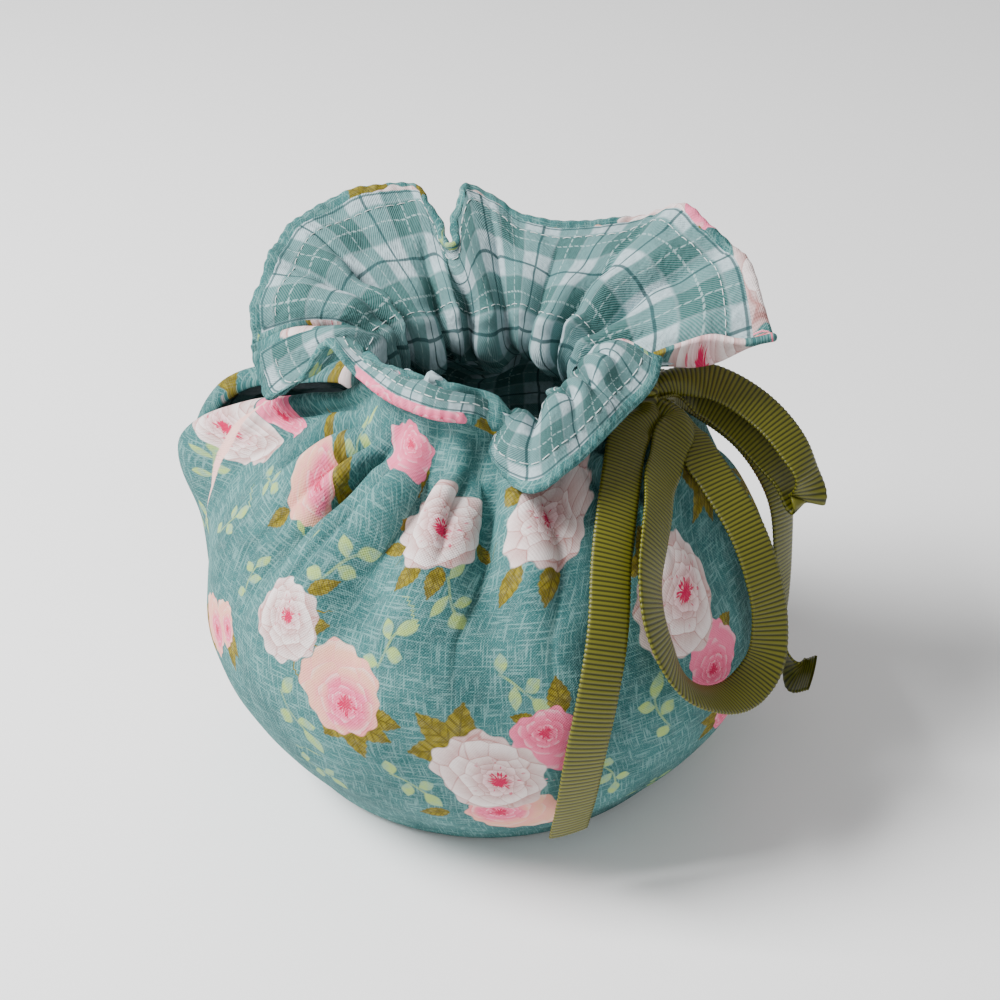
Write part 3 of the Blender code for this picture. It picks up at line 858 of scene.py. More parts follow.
@dataclass(frozen=True)
class FloralCotton:
    """The shell's print: blooms, olive leaves and pale sprigs on teal with a linen-like hatch."""

    ground: Colour = (0.038, 0.138, 0.138)
    ground_pale: Colour = (0.160, 0.325, 0.310)
    ground_deep: Colour = (0.021, 0.090, 0.092)
    petal: Colour = (0.760, 0.670, 0.655)
    petal_shade: Colour = (0.430, 0.215, 0.200)
    pink: Colour = (0.780, 0.170, 0.290)
    peach: Colour = (0.740, 0.400, 0.270)
    crimson: Colour = (0.500, 0.008, 0.070)
    leaf: Colour = (0.205, 0.165, 0.012)
    leaf_dark: Colour = (0.055, 0.042, 0.004)
    sprig: Colour = (0.330, 0.460, 0.130)
    binding: Colour = (0.800, 0.480, 0.430)
    worn: Colour = (0.8, 0.9, 0.9)
    roughness: float = 0.85
    thread_turn: float = 9.0
    leaf_spread: float = 0.95

    def material(self) -> Material:
        """Builds the shader."""
        graph = Graph("floral_cotton")
        cloth = graph.attribute("cloth", vector=True)
        u, v, _ = graph.parts(cloth)
        colour = self.with_sprigs(graph, self.hatched(graph, cloth, u, v))
        for layer in ("leaf_low", "leaf_high"):
            colour = self.with_leaves(graph, colour, layer)
        for layer in ("bloom_low", "bloom_high"):
            colour = self.with_bloom(graph, colour, layer)
        edge = absolute(graph.attribute("placket"))
        colour = graph.mix(step(edge, 0.95, 0.70), colour, self.binding)
        weave = sine(u * self.thread_turn) * sine(v * self.thread_turn)
        tone = graph.noise(cloth, 0.35, 3.0, 0.6)
        colour = graph.mix((tone - 0.45) * 0.16 + weave * 0.03, colour, self.worn)
        graph.bump(weave * 0.5 + graph.noise(cloth, 1.6) * 0.9, 0.22, 0.5)
        return graph.surface(colour, self.roughness, CLOTH_GLOSS)

    def hatched(self, graph: Graph, cloth: Signal, u: Signal, v: Signal) -> Signal:
        """The ground's colour: short pale strokes that run both ways over teal."""
        thin, drawn_out = 1.9, 0.16
        strokes = []
        for across, up, seed in ((drawn_out, thin, 3.0), (thin, drawn_out, 9.0)):
            long = graph.noise(graph.vector(u * across, v * up, seed), 1.0, 2.0, 0.55)
            strokes.append(step(long, 0.53, 0.64))
        patch = step(graph.noise(cloth, 0.05), 0.35, 0.65)
        base = graph.mix(patch, self.ground_deep, self.ground)
        fine = graph.noise(graph.vector(u, v, 20.0), 2.2, 2.0, 0.7)
        base = graph.mix(step(fine, 0.45, 0.75) * 0.5, base, self.ground_pale)
        return graph.mix(larger(*strokes) * (0.45 + 0.35 * patch), base, self.ground_pale)

    def leaflet(self, x: Signal, y: Signal, base: float, turn: float, length: float) -> Signal:
        """One pointed oval leaflet that grows from a stem.

        Args:
            x, y: places along and across the stem.
            base: where on the stem it starts.
            turn: its direction in degrees from the stem's.
            length: of the leaflet.
        """
        ahead, aside = float(np.cos(np.radians(turn))) / length, float(np.sin(np.radians(turn))) / length
        along = (x - base) * ahead + y * aside
        off = absolute(y * ahead - (x - base) * aside)
        half_width = 0.33 * sine(smaller(larger(along, 0.0), 1.0) * np.pi)
        return step(off, half_width, half_width - 0.10) * step(along, 0.02, 0.08)

    def with_sprigs(self, graph: Graph, under: Signal) -> Signal:
        """Adds the pale sprigs: four plump leaflets on a thin curved stem."""
        x, y, seed, near = graph.motif("sprig")
        bent = y - 0.16 * sine(x * 2.2 + seed)
        mask = step(absolute(bent), 0.05, 0.02) * step(absolute(x), 0.75, 0.68) * 0.6
        for base, turn, length in (
            (-0.62, 118.0, 0.62),
            (-0.22, -62.0, 0.66),
            (0.10, 66.0, 0.62),
            (0.30, -12.0, 0.78),
        ):
            mask = larger(mask, self.leaflet(x, bent, base, turn, length))
        shade = graph.noise(graph.vector(x, y, seed), 3.0)
        tint = graph.mix(step(shade, 0.35, 0.7) * 0.7, self.sprig, self.ground_pale)
        return graph.mix(mask * near * 0.88, under, tint)

    def with_leaves(self, graph: Graph, under: Signal, layer: str) -> Signal:
        """Adds olive leaves: one, or three that fan out, each with dark veins and a jagged edge."""
        x, y, fan, near = graph.motif(layer)
        far, angle = length_of(x, y), arctan(y, x)
        leaf = graph.math("ROUND", angle / self.leaf_spread)
        leaf = smaller(larger(leaf, fan * -1.0), fan)
        angle = angle - leaf * self.leaf_spread
        along, off = far * cosine(angle), absolute(far * sine(angle))
        bow = sine(graph.math("POWER", larger(along, 0.0001), 0.8) * np.pi)
        edge = 0.29 * bow + 0.012 * sine(along * 40.0)
        mask = step(off, edge + 0.02, edge - 0.03) * step(along, 0.02, 0.06) * step(along, 1.0, 0.97)
        vein = step(sine((along - 0.8 * off) * 34.0 + leaf * 2.0), 0.1, 0.9)
        middle = step(off, 0.035, 0.01)
        blotch = step(graph.noise(graph.vector(x, y, fan), 4.0), 0.4, 0.65)
        dark = larger(larger(vein * 0.6, middle * 0.7), blotch * 0.65)
        return graph.mix(mask * near, under, graph.mix(dark, self.leaf, self.leaf_dark))

    def with_bloom(self, graph: Graph, under: Signal, layer: str) -> Signal:
        """Adds blooms: petals in rings that widen outwards, with a crimson heart."""
        x, y, kind, near = graph.motif(layer)
        rose, is_peach = step(kind, 0.4, 0.6), step(kind, 1.4, 1.6)
        angle = arctan(y, x)
        ragged = 0.05 * sine(angle * 5.0 + kind * 2.0) + 0.035 * sine(angle * 13.0)
        ragged = ragged + 0.12 * (graph.noise(graph.vector(x, y, kind), 2.6) - 0.5)
        mask = step(length_of(x, y), 0.93 + ragged, 0.89 + ragged)
        heart_x, heart_y = x - 0.10 - 0.12 * rose, y + 0.10 + 0.12 * rose
        heart = length_of(heart_x, heart_y) + 0.0001
        turn = arctan(heart_y, heart_x)
        depth = graph.math("LOGARITHM", heart + 0.09, 2.718) * 2.1 + kind * 3.0
        ring = graph.vector(cosine(turn) * 1.25, sine(turn) * 1.25, depth)
        petals = {"Vector": ring, "Scale": 1.35, "Randomness": 0.9}
        cells = graph.node("ShaderNodeTexVoronoi", {"feature": "F1"}, petals)
        lines = graph.node("ShaderNodeTexVoronoi", {"feature": "DISTANCE_TO_EDGE"}, petals)
        cell_depth = graph.parts(graph.out(cells, "Position"))[2]
        random = graph.parts(graph.out(cells, "Color"))[0]
        outer, rim = step(depth - cell_depth, -0.55, 0.5), step(graph.out(lines, 0), 0.05, 0.0)
        veins = graph.noise(graph.vector(turn * 4.0, heart * 1.5, kind), 2.0, 3.0)
        shade = (1.0 - outer) * 0.70 + rim * 0.45 + (random - 0.5) * 0.25 + (veins - 0.5) * 0.5
        outside = graph.mix(is_peach, self.pink, self.peach)
        inner_pink = step(heart + (random - 0.5) * 0.25, 0.78, 0.42)
        rose_light = graph.mix(inner_pink, outside, self.pink)
        outer_dark, inner_dark = graph.mix(0.45, outside, self.pink), graph.mix(0.55, self.pink, self.crimson)
        rose_dark = graph.mix(inner_pink, outer_dark, inner_dark)
        blush = graph.mix(step(heart, 0.55, 0.1) * 0.35, self.petal, self.pink)
        light, dark = graph.mix(rose, blush, rose_light), graph.mix(rose, self.petal_shade, rose_dark)
        colour = graph.mix(step(outer, 0.75, 1.0) * rose * 0.35, graph.mix(shade, light, dark), self.petal)
        streak = graph.noise(graph.vector(turn * 2.2, heart * 3.0, kind + 5.0), 2.4, 1.0)
        core = step(heart + (streak - 0.5) * 0.42, 0.17, 0.12)
        thread = step(streak, 0.66, 0.72) * step(heart, 0.62, 0.35)
        colour = graph.mix(larger(core, thread * 0.75), colour, self.crimson)
        return graph.mix(mask * near, under, colour)


@dataclass(frozen=True)
class PlaidCotton:
    """The lining's woven check in teal and white, with a thin dark line and a thin pale one in a repeat, and
    a painted shade line in the crease of the seam near its free borders.
    """

    repeat: float = 20.0
    seam_shade_inset: float = 3.0
    white: Colour = (0.400, 0.510, 0.545)
    teal: Colour = (0.068, 0.180, 0.176)
    deep: Colour = (0.014, 0.085, 0.076)
    line: Colour = (0.022, 0.068, 0.072)
    pale_line: Colour = (0.360, 0.500, 0.500)
    roughness: float = 0.88

    def material(self) -> Material:
        """Builds the shader."""
        graph = Graph("plaid_cotton")
        cloth = graph.attribute("cloth", vector=True)
        u, v, _ = graph.parts(cloth)
        wander = graph.noise(cloth, 0.12, 1.0) * 1.2
        phases = [graph.math("PINGPONG", x / (self.repeat / 2) + 0.25, 1.0) for x in (u + wander, v + wander)]
        edges = (0.44, 0.56), (0.052, 0.026), (0.967, 0.984)
        bars, darks, pales = ([step(phase, *pair) for phase in phases] for pair in edges)
        twill = sine((u + v) * 8.5) * 0.5 + 0.5
        both, either = bars[0] * bars[1], larger(*bars)
        colour = graph.mix((either - both) * (0.68 + 0.32 * twill), self.white, self.teal)
        colour = graph.mix(both * (0.80 + 0.2 * twill), colour, self.deep)
        colour = graph.mix(step(graph.noise(cloth, 0.5, 3.0, 0.65), 0.35, 0.75) * 0.3, colour, self.teal)
        pale = larger(*pales) * step(sine((u - v) * 3.0), -0.9, -0.2)
        colour = graph.mix(pale * 0.6, colour, self.pale_line)
        colour = graph.mix(larger(*darks) * 0.85, colour, self.line)
        # Painted shade: a dark line a little way in from the free borders, where the crease of the seam
        # between lining and shell lies in shadow.
        seam = absolute(graph.attribute("border") - self.seam_shade_inset)
        colour = graph.mix(step(seam, 0.42, 0.2) * 0.8, colour, self.line)
        crumple = graph.noise(cloth, 0.9, 3.0) * 1.6 + graph.noise(cloth, 0.22, 2.0, 0.6) * 5.0
        graph.bump(twill * 0.5 + crumple, 0.3, 0.6)
        return graph.surface(colour, self.roughness, CLOTH_GLOSS)


@dataclass(frozen=True)
class Grosgrain:
    """Ribbed olive ribbon. The ribs are in its mesh; its colour darkens between them as painted shade in the
    grooves.
    """

    olive: Colour = (0.130, 0.128, 0.009)
    painted_groove_shade: Colour = (0.026, 0.028, 0.0015)
    roughness: float = 0.38
    gloss: float = 0.35

    def material(self) -> Material:
        """Builds the shader."""
        graph = Graph("grosgrain_ribbon")
        rib = graph.attribute("rib")
        fibre = graph.noise(graph.vector(graph.attribute("across"), rib * 0.2), 14.0)
        graph.bump(fibre, 0.05, 0.5)
        # Painted shade: the colour darkens from each rib into the grooves beside it.
        colour = graph.mix(step(rib + (fibre - 0.5) * 0.4, 0.0, 0.75), self.painted_groove_shade, self.olive)
        return graph.surface(colour, self.roughness, self.gloss)


def plain(name: str, colour: Colour, roughness: float) -> Material:
    """A material of one colour."""
    return Graph(name).surface(colour, roughness)


Layout = dict[str, list[Motif]]


def scattered(seed: int, spacing: float = 52.0) -> Layout:
    """A repeat of bouquets with leaves and sprigs round them, for a whole panel."""
    rng = np.random.default_rng(seed)
    layout: Layout = {layer: [] for layer in LAYERS}
    for i, v in enumerate(np.arange(-10, BODY_LENGTH + RUFFLE_LENGTH + 40, spacing * 0.78)):
        for u in np.arange(-PANEL_WIDTH / 2 - 20 + (i % 2) * spacing / 2, PANEL_WIDTH / 2 + 30, spacing):
            place = u + rng.uniform(-4, 4), v + rng.uniform(-4, 4)
            add_bouquet(layout, *place, rng.uniform(0, 360), int(rng.integers(3)))
    return layout


def add_bouquet(layout: Layout, u: float, v: float, turn: float, kind: int) -> None:
    """Adds a peony or rose, a smaller bloom behind it, leaves and sprigs round them.

    Args:
        layout: where the motifs go.
        u, v: the middle of the front bloom.
        turn: where the second bloom lies, in degrees.
        kind: which blooms: 0 peony with a rose, 1 peony with a peach rose, 2 a peach rose alone.
    """
    alone = kind == 2
    size = 10.0 if alone else 13.0

    def add(layer: str, beside: float, far: float, *rest: float) -> None:
        place = u + far * np.cos(np.radians(beside)), v + far * np.sin(np.radians(beside))
        layout[layer].append(Motif(*place, *rest))

    add("bloom_high", 0.0, 0.0, size, turn, PEACH if alone else PEONY)
    if not alone:
        add("bloom_low", turn, 16.5, 9.0, turn + 60, ROSE if kind == 0 else PEACH)
        add("leaf_low", turn, 22.0, 11.0, turn - 5, 1.0)
    add("leaf_low", turn + 180, size * 0.80, 10.0, turn + 180, 1.0)
    add("leaf_high", turn + 105, size * 0.88, 8.5, turn + 95, 0.0)
    add("sprig", turn + 250, size + 8.5, 7.5, turn + 215, turn / 60)
    add("sprig", turn + 70, size + 12.0, 6.5, turn + 20, turn / 45)


# The kinds of bloom, as numbers that the shader reads.
PEONY, ROSE, PEACH = 0, 1, 2

# How many times its own size each layer's motifs may cover.
LAYERS = {"bloom_high": 1.25, "bloom_low": 1.25, "leaf_high": 1.1, "leaf_low": 1.1, "sprig": 1.3}

# Each motif's place from the front panel's middle and up from the hem, size, turn and kind.
FRONT_PRINT: dict[str, Table] = {
    "bloom_high": (
        (-33.0, 81.5, 10.5, 100, PEONY), (-2.9, 112.5, 11.5, 20, PEONY), (28.5, 114.0, 13.0, 200, PEONY),
        (17.8, 53.0, 14.0, 0, PEONY), (72.0, 87.5, 15.0, 60, PEONY), (-92.0, 105.0, 10.5, 250, PEONY),
        (-69.0, 62.0, 8.0, 40, PEACH), (-30.0, 177.5, 13.0, 10, ROSE), (-66.0, 158.0, 11.0, 10, PEONY),
        (58.0, 158.0, 11.0, 70, PEONY),
    ),
    "bloom_low": (
        (-52.3, 111.0, 10.0, 60, PEACH), (-15.5, 71.0, 12.0, -10, PEACH), (21.0, 36.5, 12.0, 200, PEACH),
        (80.5, 69.5, 9.5, 300, ROSE), (34.0, 62.0, 10.0, 150, ROSE), (-18.0, 129.0, 7.5, 90, ROSE),
        (-60.5, 67.0, 6.0, 30, PEACH), (-80.0, 116.0, 6.5, 0, ROSE), (-12.0, 177.0, 13.0, 40, ROSE),
        (30.0, 168.0, 8.0, 110, ROSE),
    ),
    "leaf_high": (
        (-56.0, 102.5, 8.0, -115, 0), (-44.5, 115.0, 9.0, 40, 1), (-4.0, 103.5, 8.0, -115, 0),
        (-11.5, 108.5, 6.5, -155, 0), (7.0, 112.0, 6.5, -35, 0), (22.5, 104.5, 9.5, -105, 0),
        (-29.0, 90.0, 7.0, 50, 0), (-30.5, 82.0, 10.0, 15, 0), (-13.0, 66.0, 11.5, -80, 1),
        (-58.5, 68.0, 11.0, -65, 0), (13.0, 61.0, 13.0, 135, 1), (6.0, 37.0, 8.0, 195, 0),
        (37.5, 69.0, 10.0, 95, 0), (82.0, 74.0, 9.0, 15, 0), (3.0, 176.5, 12.0, 0, 1),
        (62.0, 99.0, 9.0, 130, 1),
    ),
    "leaf_low": (
        (-57.0, 117.0, 8.0, 140, 0), (0.8, 103.5, 8.0, -86, 0), (-12.0, 113.5, 5.5, 170, 0),
        (30.5, 105.0, 11.0, -85, 0), (-30.0, 80.0, 9.5, -42, 0), (-9.0, 67.5, 9.5, -12, 0),
        (-26.0, 76.0, 5.5, 160, 0), (-58.0, 67.0, 8.0, -28, 0), (32.0, 67.5, 7.0, 160, 0),
        (19.0, 118.0, 8.0, 150, 0), (-14.0, 128.0, 8.0, -70, 0),
    ),
    "sprig": (
        (-25.5, 99.0, 8.5, 55, 1.0), (-53.5, 83.5, 6.5, 95, 2.0), (7.5, 97.0, 8.5, -40, 4.0),
        (-2.7, 84.5, 8.5, 50, 0.5), (28.5, 76.0, 9.0, -25, 3.0), (-29.0, 59.0, 9.5, -60, 5.0),
        (-27.0, 40.5, 7.5, -20, 1.5), (-2.0, 46.5, 9.0, -32, 2.5), (-74.0, 87.0, 8.0, 75, 3.5),
        (-45.0, 103.0, 6.5, 35, 4.5), (-96.0, 92.0, 7.0, 85, 0.0), (62.5, 64.0, 9.0, 95, 1.0),
        (45.0, 46.0, 7.5, -70, 2.0), (-70.0, 102.0, 6.5, 25, 3.0), (-38.0, 126.0, 6.5, 80, 4.0),
        (58.0, 26.0, 8.0, 20, 5.0), (-50.0, 172.0, 8.0, 160, 1.0), (54.0, 173.0, 9.0, 10, 2.0),
    ),
}
FRONT_BOUQUETS = (
    (102, 112, 40, 1),
    (104, 38, 160, 0),
    (-100, 46, 20, 1),
    (96, 160, 90, 0),
    (-100, 164, 200, 1),
)

# What shows under the ruffle's right corner, and the place that the scattered motifs leave clear for it.
CORNER_PRINT: dict[str, Table] = {
    "bloom_high": ((-92.0, 168.0, 19.0, 30, PEONY),),
    "bloom_low": ((-66.0, 177.0, 8.0, 10, ROSE),),
    "leaf_high": ((-72.0, 158.0, 9.0, -20, 1),),
}
CORNER_U, CORNER_V, CORNER_REACH = -90.0, 167.0, 30.0


def front_layout() -> Layout:
    """The front panel's print, with bouquets towards its sides."""
    layout = {layer: [Motif(*row) for row in rows] for layer, rows in FRONT_PRINT.items()}
    for bouquet in FRONT_BOUQUETS:
        add_bouquet(layout, *bouquet)
    return layout


def back_layout() -> Layout:
    """The back panel's print, with a peony and leaves under the ruffle's right corner."""
    layout = scattered(8)
    for layer, motifs in layout.items():
        motifs[:] = [m for m in motifs if np.hypot(m.u - CORNER_U, m.v - CORNER_V) > CORNER_REACH]
        motifs.extend(Motif(*row) for row in CORNER_PRINT.get(layer, ()))
    return layout


@dataclass
class Panel:
    """One half of the cosy: a floral shell whose free edges roll in over a plaid lining.

    Args:
        side: front or back.
        layout: the shell's print.
    """

    side: Side
    layout: Layout

    def build(self, floral: Material, plaid: Material) -> Cloth:
        """Makes the shell and the lining, and hands back their cloth."""
        cloth = Cloth(self.side)
        edged = Edged(cloth)
        shell = add_grid(f"{self.side.value}_shell", edged.points, floral)
        keep_map(shell, edged.u, edged.v)
        placket = cloth.placket_mm[edged.at_row, edged.at_column]
        keep(shell, "placket", np.where(edged.angle > 0, FAR, placket))
        for layer, reach in LAYERS.items():
            keep_motifs(shell, layer, self.layout[layer], edged.u, edged.v, reach)
        self.declare(shell, f"{self.side.value}_panel", "floral_cotton")
        lining = add_grid(f"{self.side.value}_lining", cloth.inner, plaid, flip=True)
        keep_map(lining, cloth.u, cloth.v)
        keep(lining, "border", cloth.to_border)
        self.declare(lining, f"lining_{self.side.value}", "plaid_cotton")
        return cloth

    @staticmethod
    def declare(made: Object, node: str, slot: str) -> None:
        """Puts a sheet on the frame in its CAD node's stead."""
        stand_for(made, node)


@dataclass(frozen=True)
class Stitches:
    """Rows of top-stitching on the lining.

    Args:
        rows: each row's name and its distance up the cloth from the neck.
        pitch, length: from one stitch to the next, and of one stitch.
        radius: of the thread.
        arch, sunk: how far a stitch's middle stands up, and how far its ends sink in.
        rings, sides: a stitch's rings of points, and how many points each ring has.
    """

    rows: Table = (("rim", RUFFLE_LENGTH - 7.0), ("casing top", 9.0))
    pitch: float = 2.9
    length: float = 2.1
    radius: float = 0.13
    arch: float = 0.26
    sunk: float = 0.08
    rings: int = 5
    sides: int = 6

    def build(self, cloth: Cloth, thread: Material) -> None:
        """Makes one panel's stitches as one object."""
        stitches, normals = [], -Cloth.normals_of(cloth.inner)
        for _, distance in self.rows:
            row = int(np.argmin(np.abs(cloth.rise - (1 + distance / RUFFLE_LENGTH))))
            line, out = cloth.inner[row, 4:-4], normals[row, 4:-4]
            along = distances(line)
            for start in np.arange(self.pitch, along[-1] - self.pitch, self.pitch):
                at = start + self.length * np.linspace(0, 1, self.rings)
                middle, face = (np.stack([np.interp(at, along, x) for x in y.T], axis=1) for y in (line, out))
                stitches.append(self.stitch(middle, unit(face)))
        index = np.arange(self.rings * self.sides).reshape(self.rings, self.sides)
        quads = np.concatenate([quads_of(index + k * index.size, wrap=True) for k in range(len(stitches))])
        uv = np.zeros((*quads.shape, 2))
        made = add_mesh(f"{cloth.side.value}_stitches", np.concatenate(stitches), quads, uv, thread)
        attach(made, "root")

    def stitch(self, middle: Array, face: Array) -> Array:
        """A stitch's points, ring by ring, round its line on the cloth."""
        arch = self.arch * np.sin(np.pi * np.linspace(0, 1, self.rings))[:, None]
        middle = middle + face * (arch - self.sunk)
        side = np.cross(unit(np.gradient(middle, axis=0)), face)
        turns = np.radians(np.arange(0, 360, 360 / self.sides))[:, None, None]
        ring = self.radius * (np.cos(turns) * side + np.sin(turns) * face)
        return (middle + ring).transpose(1, 0, 2).reshape(-1, 3)


# Bearing, reach from the axis and height of the bow's knot.
KNOT_PLACE = (108.0, 38.5, 98.0)

# Along each ribbon from the knot: bearing, reach, height, and its turn about its own line.
ROUTES: dict[str, tuple[tuple[float, ...], ...]] = {
    "tail_front": (
        (97.5, 40.0, 97.5, 0), (88, 37.0, 98.0, 0), (77, 37.0, 97.5, 0), (62, 41.5, 95.5, 0),
        (50, 49.0, 91.5, 0), (42, 57.5, 86.0, 0), (36, 68.5, 75.0, 0), (32, 75.0, 61.5, 0),
        (29.5, 77.5, 48.0, 0), (28.5, 76.5, 34.0, 4), (28, 73.5, 22.0, 8),
    ),
    "tail_back": (
        (120, 44.0, 95.5, 0), (128, 51.0, 90.5, -30), (127, 60.5, 84.0, -50), (120, 70.5, 75.5, -50),
        (113, 77.0, 63.0, -45), (109, 78.0, 49.0, -40), (107, 78.0, 36.0, -40), (104, 79.0, 23.5, -20),
        (100, 82.5, 17.0, 0), (97, 86.0, 21.5, 0),
    ),
    "loop_front": (
        (106, 46.0, 94.5, -15), (97, 48.5, 92.5, -25), (90, 52.0, 90.5, -30), (83.5, 59.0, 86.0, -30),
        (79.5, 67.0, 78.5, -30), (77, 72.5, 70.0, -30), (74.5, 77.0, 58.0, -35), (71, 78.5, 50.5, -50),
        (65, 78.5, 48.0, -65), (58, 78.5, 50.0, -70), (52.5, 78.0, 54.5, -65), (48.5, 77.0, 60.0, -50),
        (46, 74.5, 67.5, -35), (45.5, 69.5, 76.0, -30), (48, 64.0, 82.5, -30), (53.5, 58.5, 87.5, -25),
        (61, 53.0, 90.0, -20), (69, 48.5, 92.0, -15), (78, 46.5, 92.5, -10), (88, 45.5, 94.5, 0),
        (98.5, 47.5, 96.0, 0),
    ),
    "loop_back": (
        (112, 45.5, 100.5, -25), (112, 55.5, 99.0, -40), (107, 66.0, 94.5, -45), (101, 75.0, 87.0, -38),
        (98, 79.5, 79.0, -35), (97.5, 79.0, 73.5, -100), (100, 75.5, 75.5, -148), (104, 70.0, 81.5, -140),
        (109, 62.0, 88.5, -135), (113, 54.0, 93.5, -140), (115, 46.5, 96.5, -155),
    ),
}


@dataclass(frozen=True)
class Ribbon:
    """One loop or tail of the bow, as ribbed ribbon.

    Args:
        name: the CAD node it stands for.
        width, thickness: of the ribbon.
        rib: from one rib to the next.
        relief: how far the ribs stand out.
        waist: the share of its width that the ribbon loses between ribs.
        pinched: share of the width that is left at the knot, where the ribbon curls up.
        full_at: distance from the knot at which it lies flat.
        curl, flat_curl: half the angle of its curl where it is pinched away to nothing, and where it is full.
        steps_a_rib, across: how many rows and columns of points it has.
    """

    name: str
    width: float = 10.0
    thickness: float = 0.55
    rib: float = RIB
    relief: float = 0.11
    waist: float = 0.035
    pinched: float = 0.5
    full_at: float = 18.0
    curl: float = 2.45
    flat_curl: float = 0.12
    steps_a_rib: int = 6
    across: int = 13

    @property
    def is_tail(self) -> bool:
        """Whether it has a free end."""
        return self.name.startswith("tail")

    def line(self) -> tuple[Array, Array, Array, Array]:
        """Distances along the ribbon, with its middle line, the direction across it and out of its face."""
        route = ROUTES[self.name]
        last = [] if self.is_tail else [(*KNOT_PLACE, route[-1][3])]
        route = np.array([(*KNOT_PLACE, route[0][3]), *route, *last], float)
        knots = at_bearing(*route[:, :3].T)
        lengths = distances(knots)
        places = np.linspace(0, lengths[-1], round(lengths[-1] / self.rib * self.steps_a_rib) + 1)
        line = through(np.column_stack([lengths, knots, route[:, 3]]), places)
        middle, turn = self.evened(line[:, :3]), np.radians(self.evened(line[:, 3:]))
        ahead = unit(np.gradient(middle, axis=0))
        radius, height = through(numbers(OUTLINE), np.array(BELLY))
        out = (middle - [*AXIS, height]) / [radius**2, radius**2, BODY_HALF_HEIGHT**2]
        side = unit(np.cross(ahead, out))
        across = np.cos(turn) * side + np.sin(turn) * np.cross(side, ahead)
        return places, middle, across, np.cross(across, ahead)

    def evened(self, values: Array) -> Array:
        """A line with its corners rounded off a little, over 4 mm each way."""
        reach = int(4 / self.rib * self.steps_a_rib)
        kernel = hump(np.arange(-reach, reach + 1), 0, reach / 2)
        before = 2 * values[:1] - values[reach:0:-1]
        after = 2 * values[-1:] - values[-2 : -reach - 2 : -1]
        padded = np.concatenate([before, values, after])
        return np.stack([np.convolve(column, kernel / kernel.sum(), "valid") for column in padded.T], axis=1)

    def build(self, grosgrain: Material) -> None:
        """Makes the ribbon."""
        places, middle, across, face = self.line()
        from_knot = places if self.is_tail else np.minimum(places, places[-1] - places)
        share = self.pinched + (1 - self.pinched) * ease(from_knot / self.full_at)
        curl = (self.curl * np.sqrt(np.maximum(1 - share, 0)) + self.flat_curl)[:, None]
        ribs = ribbing(places)[:, None]
        radius = self.width / 2 * (1 - self.waist * (1 - ribs)) / curl
        t = np.linspace(-1, 1, self.across)
        off, lift = radius * np.sin(curl * t), 0.3 * curl - radius * (1 - np.cos(curl * t))
        sheet = middle[:, None] + off[..., None] * across[:, None] + lift[..., None] * face[:, None]
        normals = unit(np.cross(np.gradient(sheet, axis=1), np.gradient(sheet, axis=0)))
        normals = normals * np.sign((normals * face[:, None]).sum(-1).mean())
        deep = (self.thickness / 2 + self.relief * ribs * (1 - np.abs(t) ** 8))[..., None] * normals
        ring = np.concatenate([sheet + deep, (sheet - deep)[:, ::-1]], axis=1)
        made = add_grid(self.name + "_ribbon", ring, grosgrain, self.flipped(ring, normals), wrap=True)
        keep(made, "rib", np.broadcast_to(ribs, ring.shape[:2]))
        keep(made, "across", np.broadcast_to(np.concatenate([t, t[::-1]]) * self.width / 2, ring.shape[:2]))
        stand_for(made, self.name)

    @staticmethod
    def flipped(ring: Array, normals: Array) -> bool:
        """Whether a grid's faces would point into the ribbon."""
        top = ring[:, : normals.shape[1]]
        faces = np.cross(np.gradient(top, axis=1), np.gradient(top, axis=0))
        return bool((faces * normals).sum() < 0)


@dataclass(frozen=True)
class Knot:
    """The bow's knot: a rounded cushion of ribbon, creased where the ribbons go in.

    Args:
        size: of the cushion, across, out from the cosy and up.
        squareness: 1 for an ellipsoid, less for a squarer cushion.
        creases: each crease's name, depth, angle up from the middle and width.
        around, up: how many columns and rows of points it has.
    """

    size: tuple[float, float, float] = (10.5, 7.0, 10.0)
    squareness: float = 0.62
    creases: Table = (("upper", 0.16, 0.15, 0.16), ("lower", 0.12, -0.55, 0.14))
    around: int = 96
    up: int = 64

    def squared(self, x: Array) -> Array:
        """A sine or cosine whose hills are broader."""
        return np.sign(x) * np.abs(x) ** self.squareness

    def build(self, grosgrain: Material) -> None:
        """Makes the knot."""
        around = np.linspace(0, 2 * np.pi, self.around, endpoint=False)[None]
        up = np.linspace(-np.pi / 2, np.pi / 2, self.up)[:, None]
        crease = 1 - sum(depth * hump(up, at, width) for _, depth, at, width in self.creases)
        level = self.squared(np.cos(up))
        across, out = (level * self.squared(x) * crease for x in (np.cos(around), np.sin(around)))
        local = np.stack(np.broadcast_arrays(across, out, self.squared(np.sin(up))), axis=-1)
        local = local * np.array(self.size) / 2
        turn = np.radians(KNOT_PLACE[0])
        side, inward = np.array([np.cos(turn), np.sin(turn), 0]), np.array([-np.sin(turn), np.cos(turn), 0])
        points = local[..., :1] * side + local[..., 1:2] * inward + local[..., 2:] * np.array([0, 0, 1.0])
        made = add_grid("bow_knot_ribbon", points + at_bearing(*np.array(KNOT_PLACE)), grosgrain, wrap=True)
        # The knot has no ribs in its mesh: they are only in its colour, with painted shade between them.
        keep(made, "rib", ribbing(local[..., 0]))
        keep(made, "across", local[..., 2])
        stand_for(made, "bow_knot")


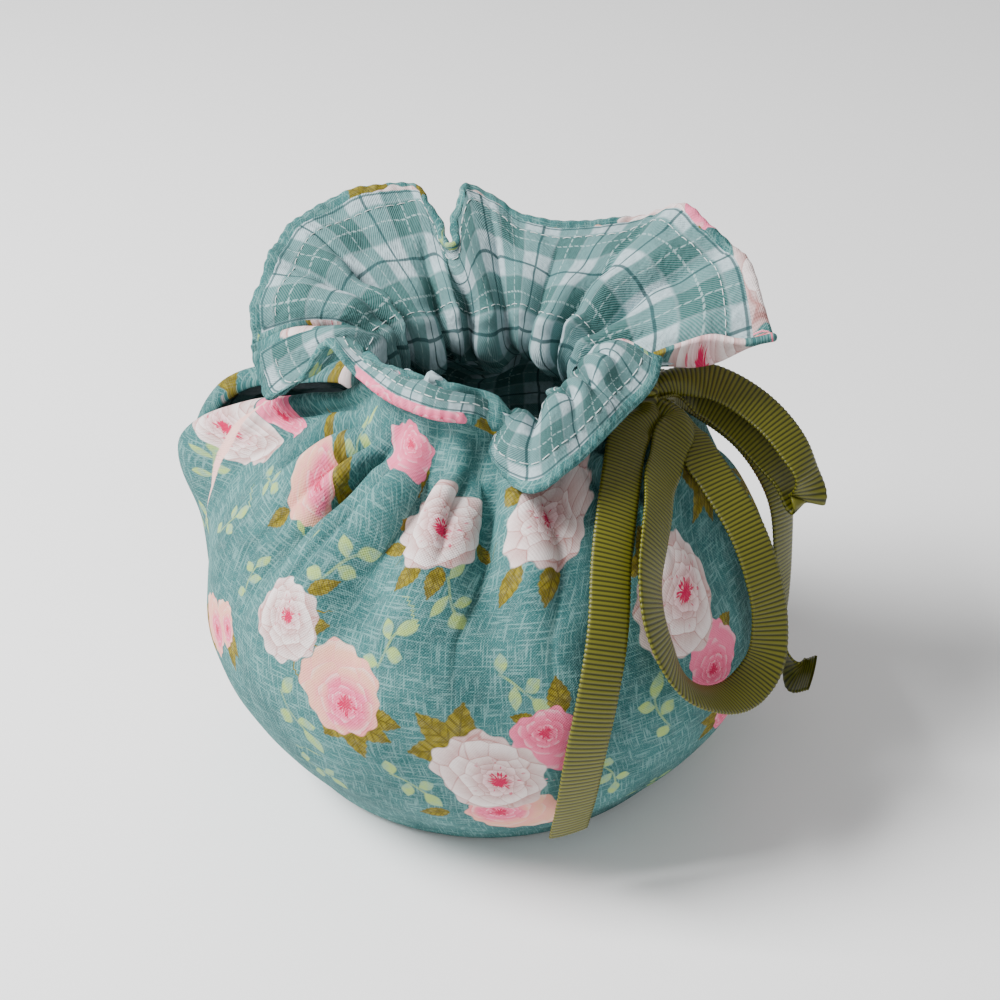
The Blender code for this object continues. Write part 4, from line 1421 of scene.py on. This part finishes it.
@dataclass(frozen=True)
class Studio:
    """A pale floor, soft light and a camera that looks a little down on the cosy. Its lengths are in metres.

    Args:
        azimuth, elevation: the camera's direction in degrees.
        distance: from the target.
        target_height, aim_height: of the points that the camera and the lamps look at.
        lens, shift: the camera's focal length in millimetres and the shift of its picture.
        lamps: each lamp's name, place, width and power.
        surrounding: how bright it is all round.
        floor_reach: from the floor's middle to its sides.
    """

    azimuth: float = 13.0
    elevation: float = 35.0
    distance: float = 0.48
    target_height: float = 0.045
    aim_height: float = 0.06
    lens: float = 66.5
    shift: tuple[float, float] = (0.012, 0.080)
    lamps: Table = (("key", (-0.70, -0.25, 0.85), 0.50, 30.0), ("front", (0.30, -0.90, 0.70), 0.60, 1.5))
    surrounding: float = 0.50
    floor_reach: float = 6.0

    def build(self) -> None:
        """Makes the floor, the lights and the camera."""
        self.add_floor()
        self.add_world()
        for lamp in self.lamps:
            self.add_lamp(*lamp)
        self.add_camera()

    def add_floor(self) -> None:
        """A wide white floor."""
        mesh, far = bpy.data.meshes.new("floor"), self.floor_reach
        mesh.from_pydata([(-far, -far, 0), (far, -far, 0), (far, far, 0), (-far, far, 0)], [], [(0, 1, 2, 3)])
        floor = add_object("floor", mesh)
        mesh.materials.append(plain("white_floor", (0.93, 0.93, 0.93), 0.9))

    def add_world(self) -> None:
        """An even white surrounding."""
        world = bpy.data.worlds.new("studio")
        world.use_nodes = True
        background = world.node_tree.nodes["Background"]
        background.inputs["Color"].default_value = (1.0, 1.0, 1.0, 1.0)
        background.inputs["Strength"].default_value = self.surrounding
        bpy.context.scene.world = world

    def add_lamp(self, name: str, place: tuple[float, float, float], size: float, power: float) -> None:
        """A square lamp that faces the cosy."""
        lamp = bpy.data.lights.new(name, "AREA")
        lamp.size, lamp.energy = size, power
        made = add_object(name, lamp)
        made.location = place
        aim = np.array([0, 0, self.aim_height]) - place
        made.rotation_euler = Vector(aim).to_track_quat("-Z", "Y").to_euler()

    def add_camera(self) -> None:
        """The camera, made the scene's own."""
        turn, lift = np.radians([self.azimuth, self.elevation])
        back = np.array([np.sin(turn) * np.cos(lift), -np.cos(turn) * np.cos(lift), np.sin(lift)])
        target = np.array([AXIS[0] * MM, AXIS[1] * MM, self.target_height])
        data = bpy.data.cameras.new("camera")
        data.sensor_width, data.lens = 36.0, self.lens
        data.shift_x, data.shift_y = self.shift
        camera = add_object("camera", data)
        camera.location = target + back * self.distance
        camera.rotation_euler = (np.pi / 2 - lift, 0.0, turn)
        bpy.context.scene.camera = camera


def main() -> None:
    """Builds the whole picture."""
    logging.basicConfig(level=logging.INFO)
    for old in list(bpy.data.objects):
        bpy.data.objects.remove(old)
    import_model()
    floral, plaid, grosgrain = FloralCotton().material(), PlaidCotton().material(), Grosgrain().material()
    thread = plain("white_thread", (0.55, 0.62, 0.62), 0.8)
    for side, layout in ((Side.FRONT, front_layout()), (Side.BACK, back_layout())):
        Stitches().build(Panel(side, layout).build(floral, plaid), thread)
    for name in ROUTES:
        Ribbon(name).build(grosgrain)
    Knot().build(grosgrain)
    Studio().build()


if __name__ == "__main__":
    main()
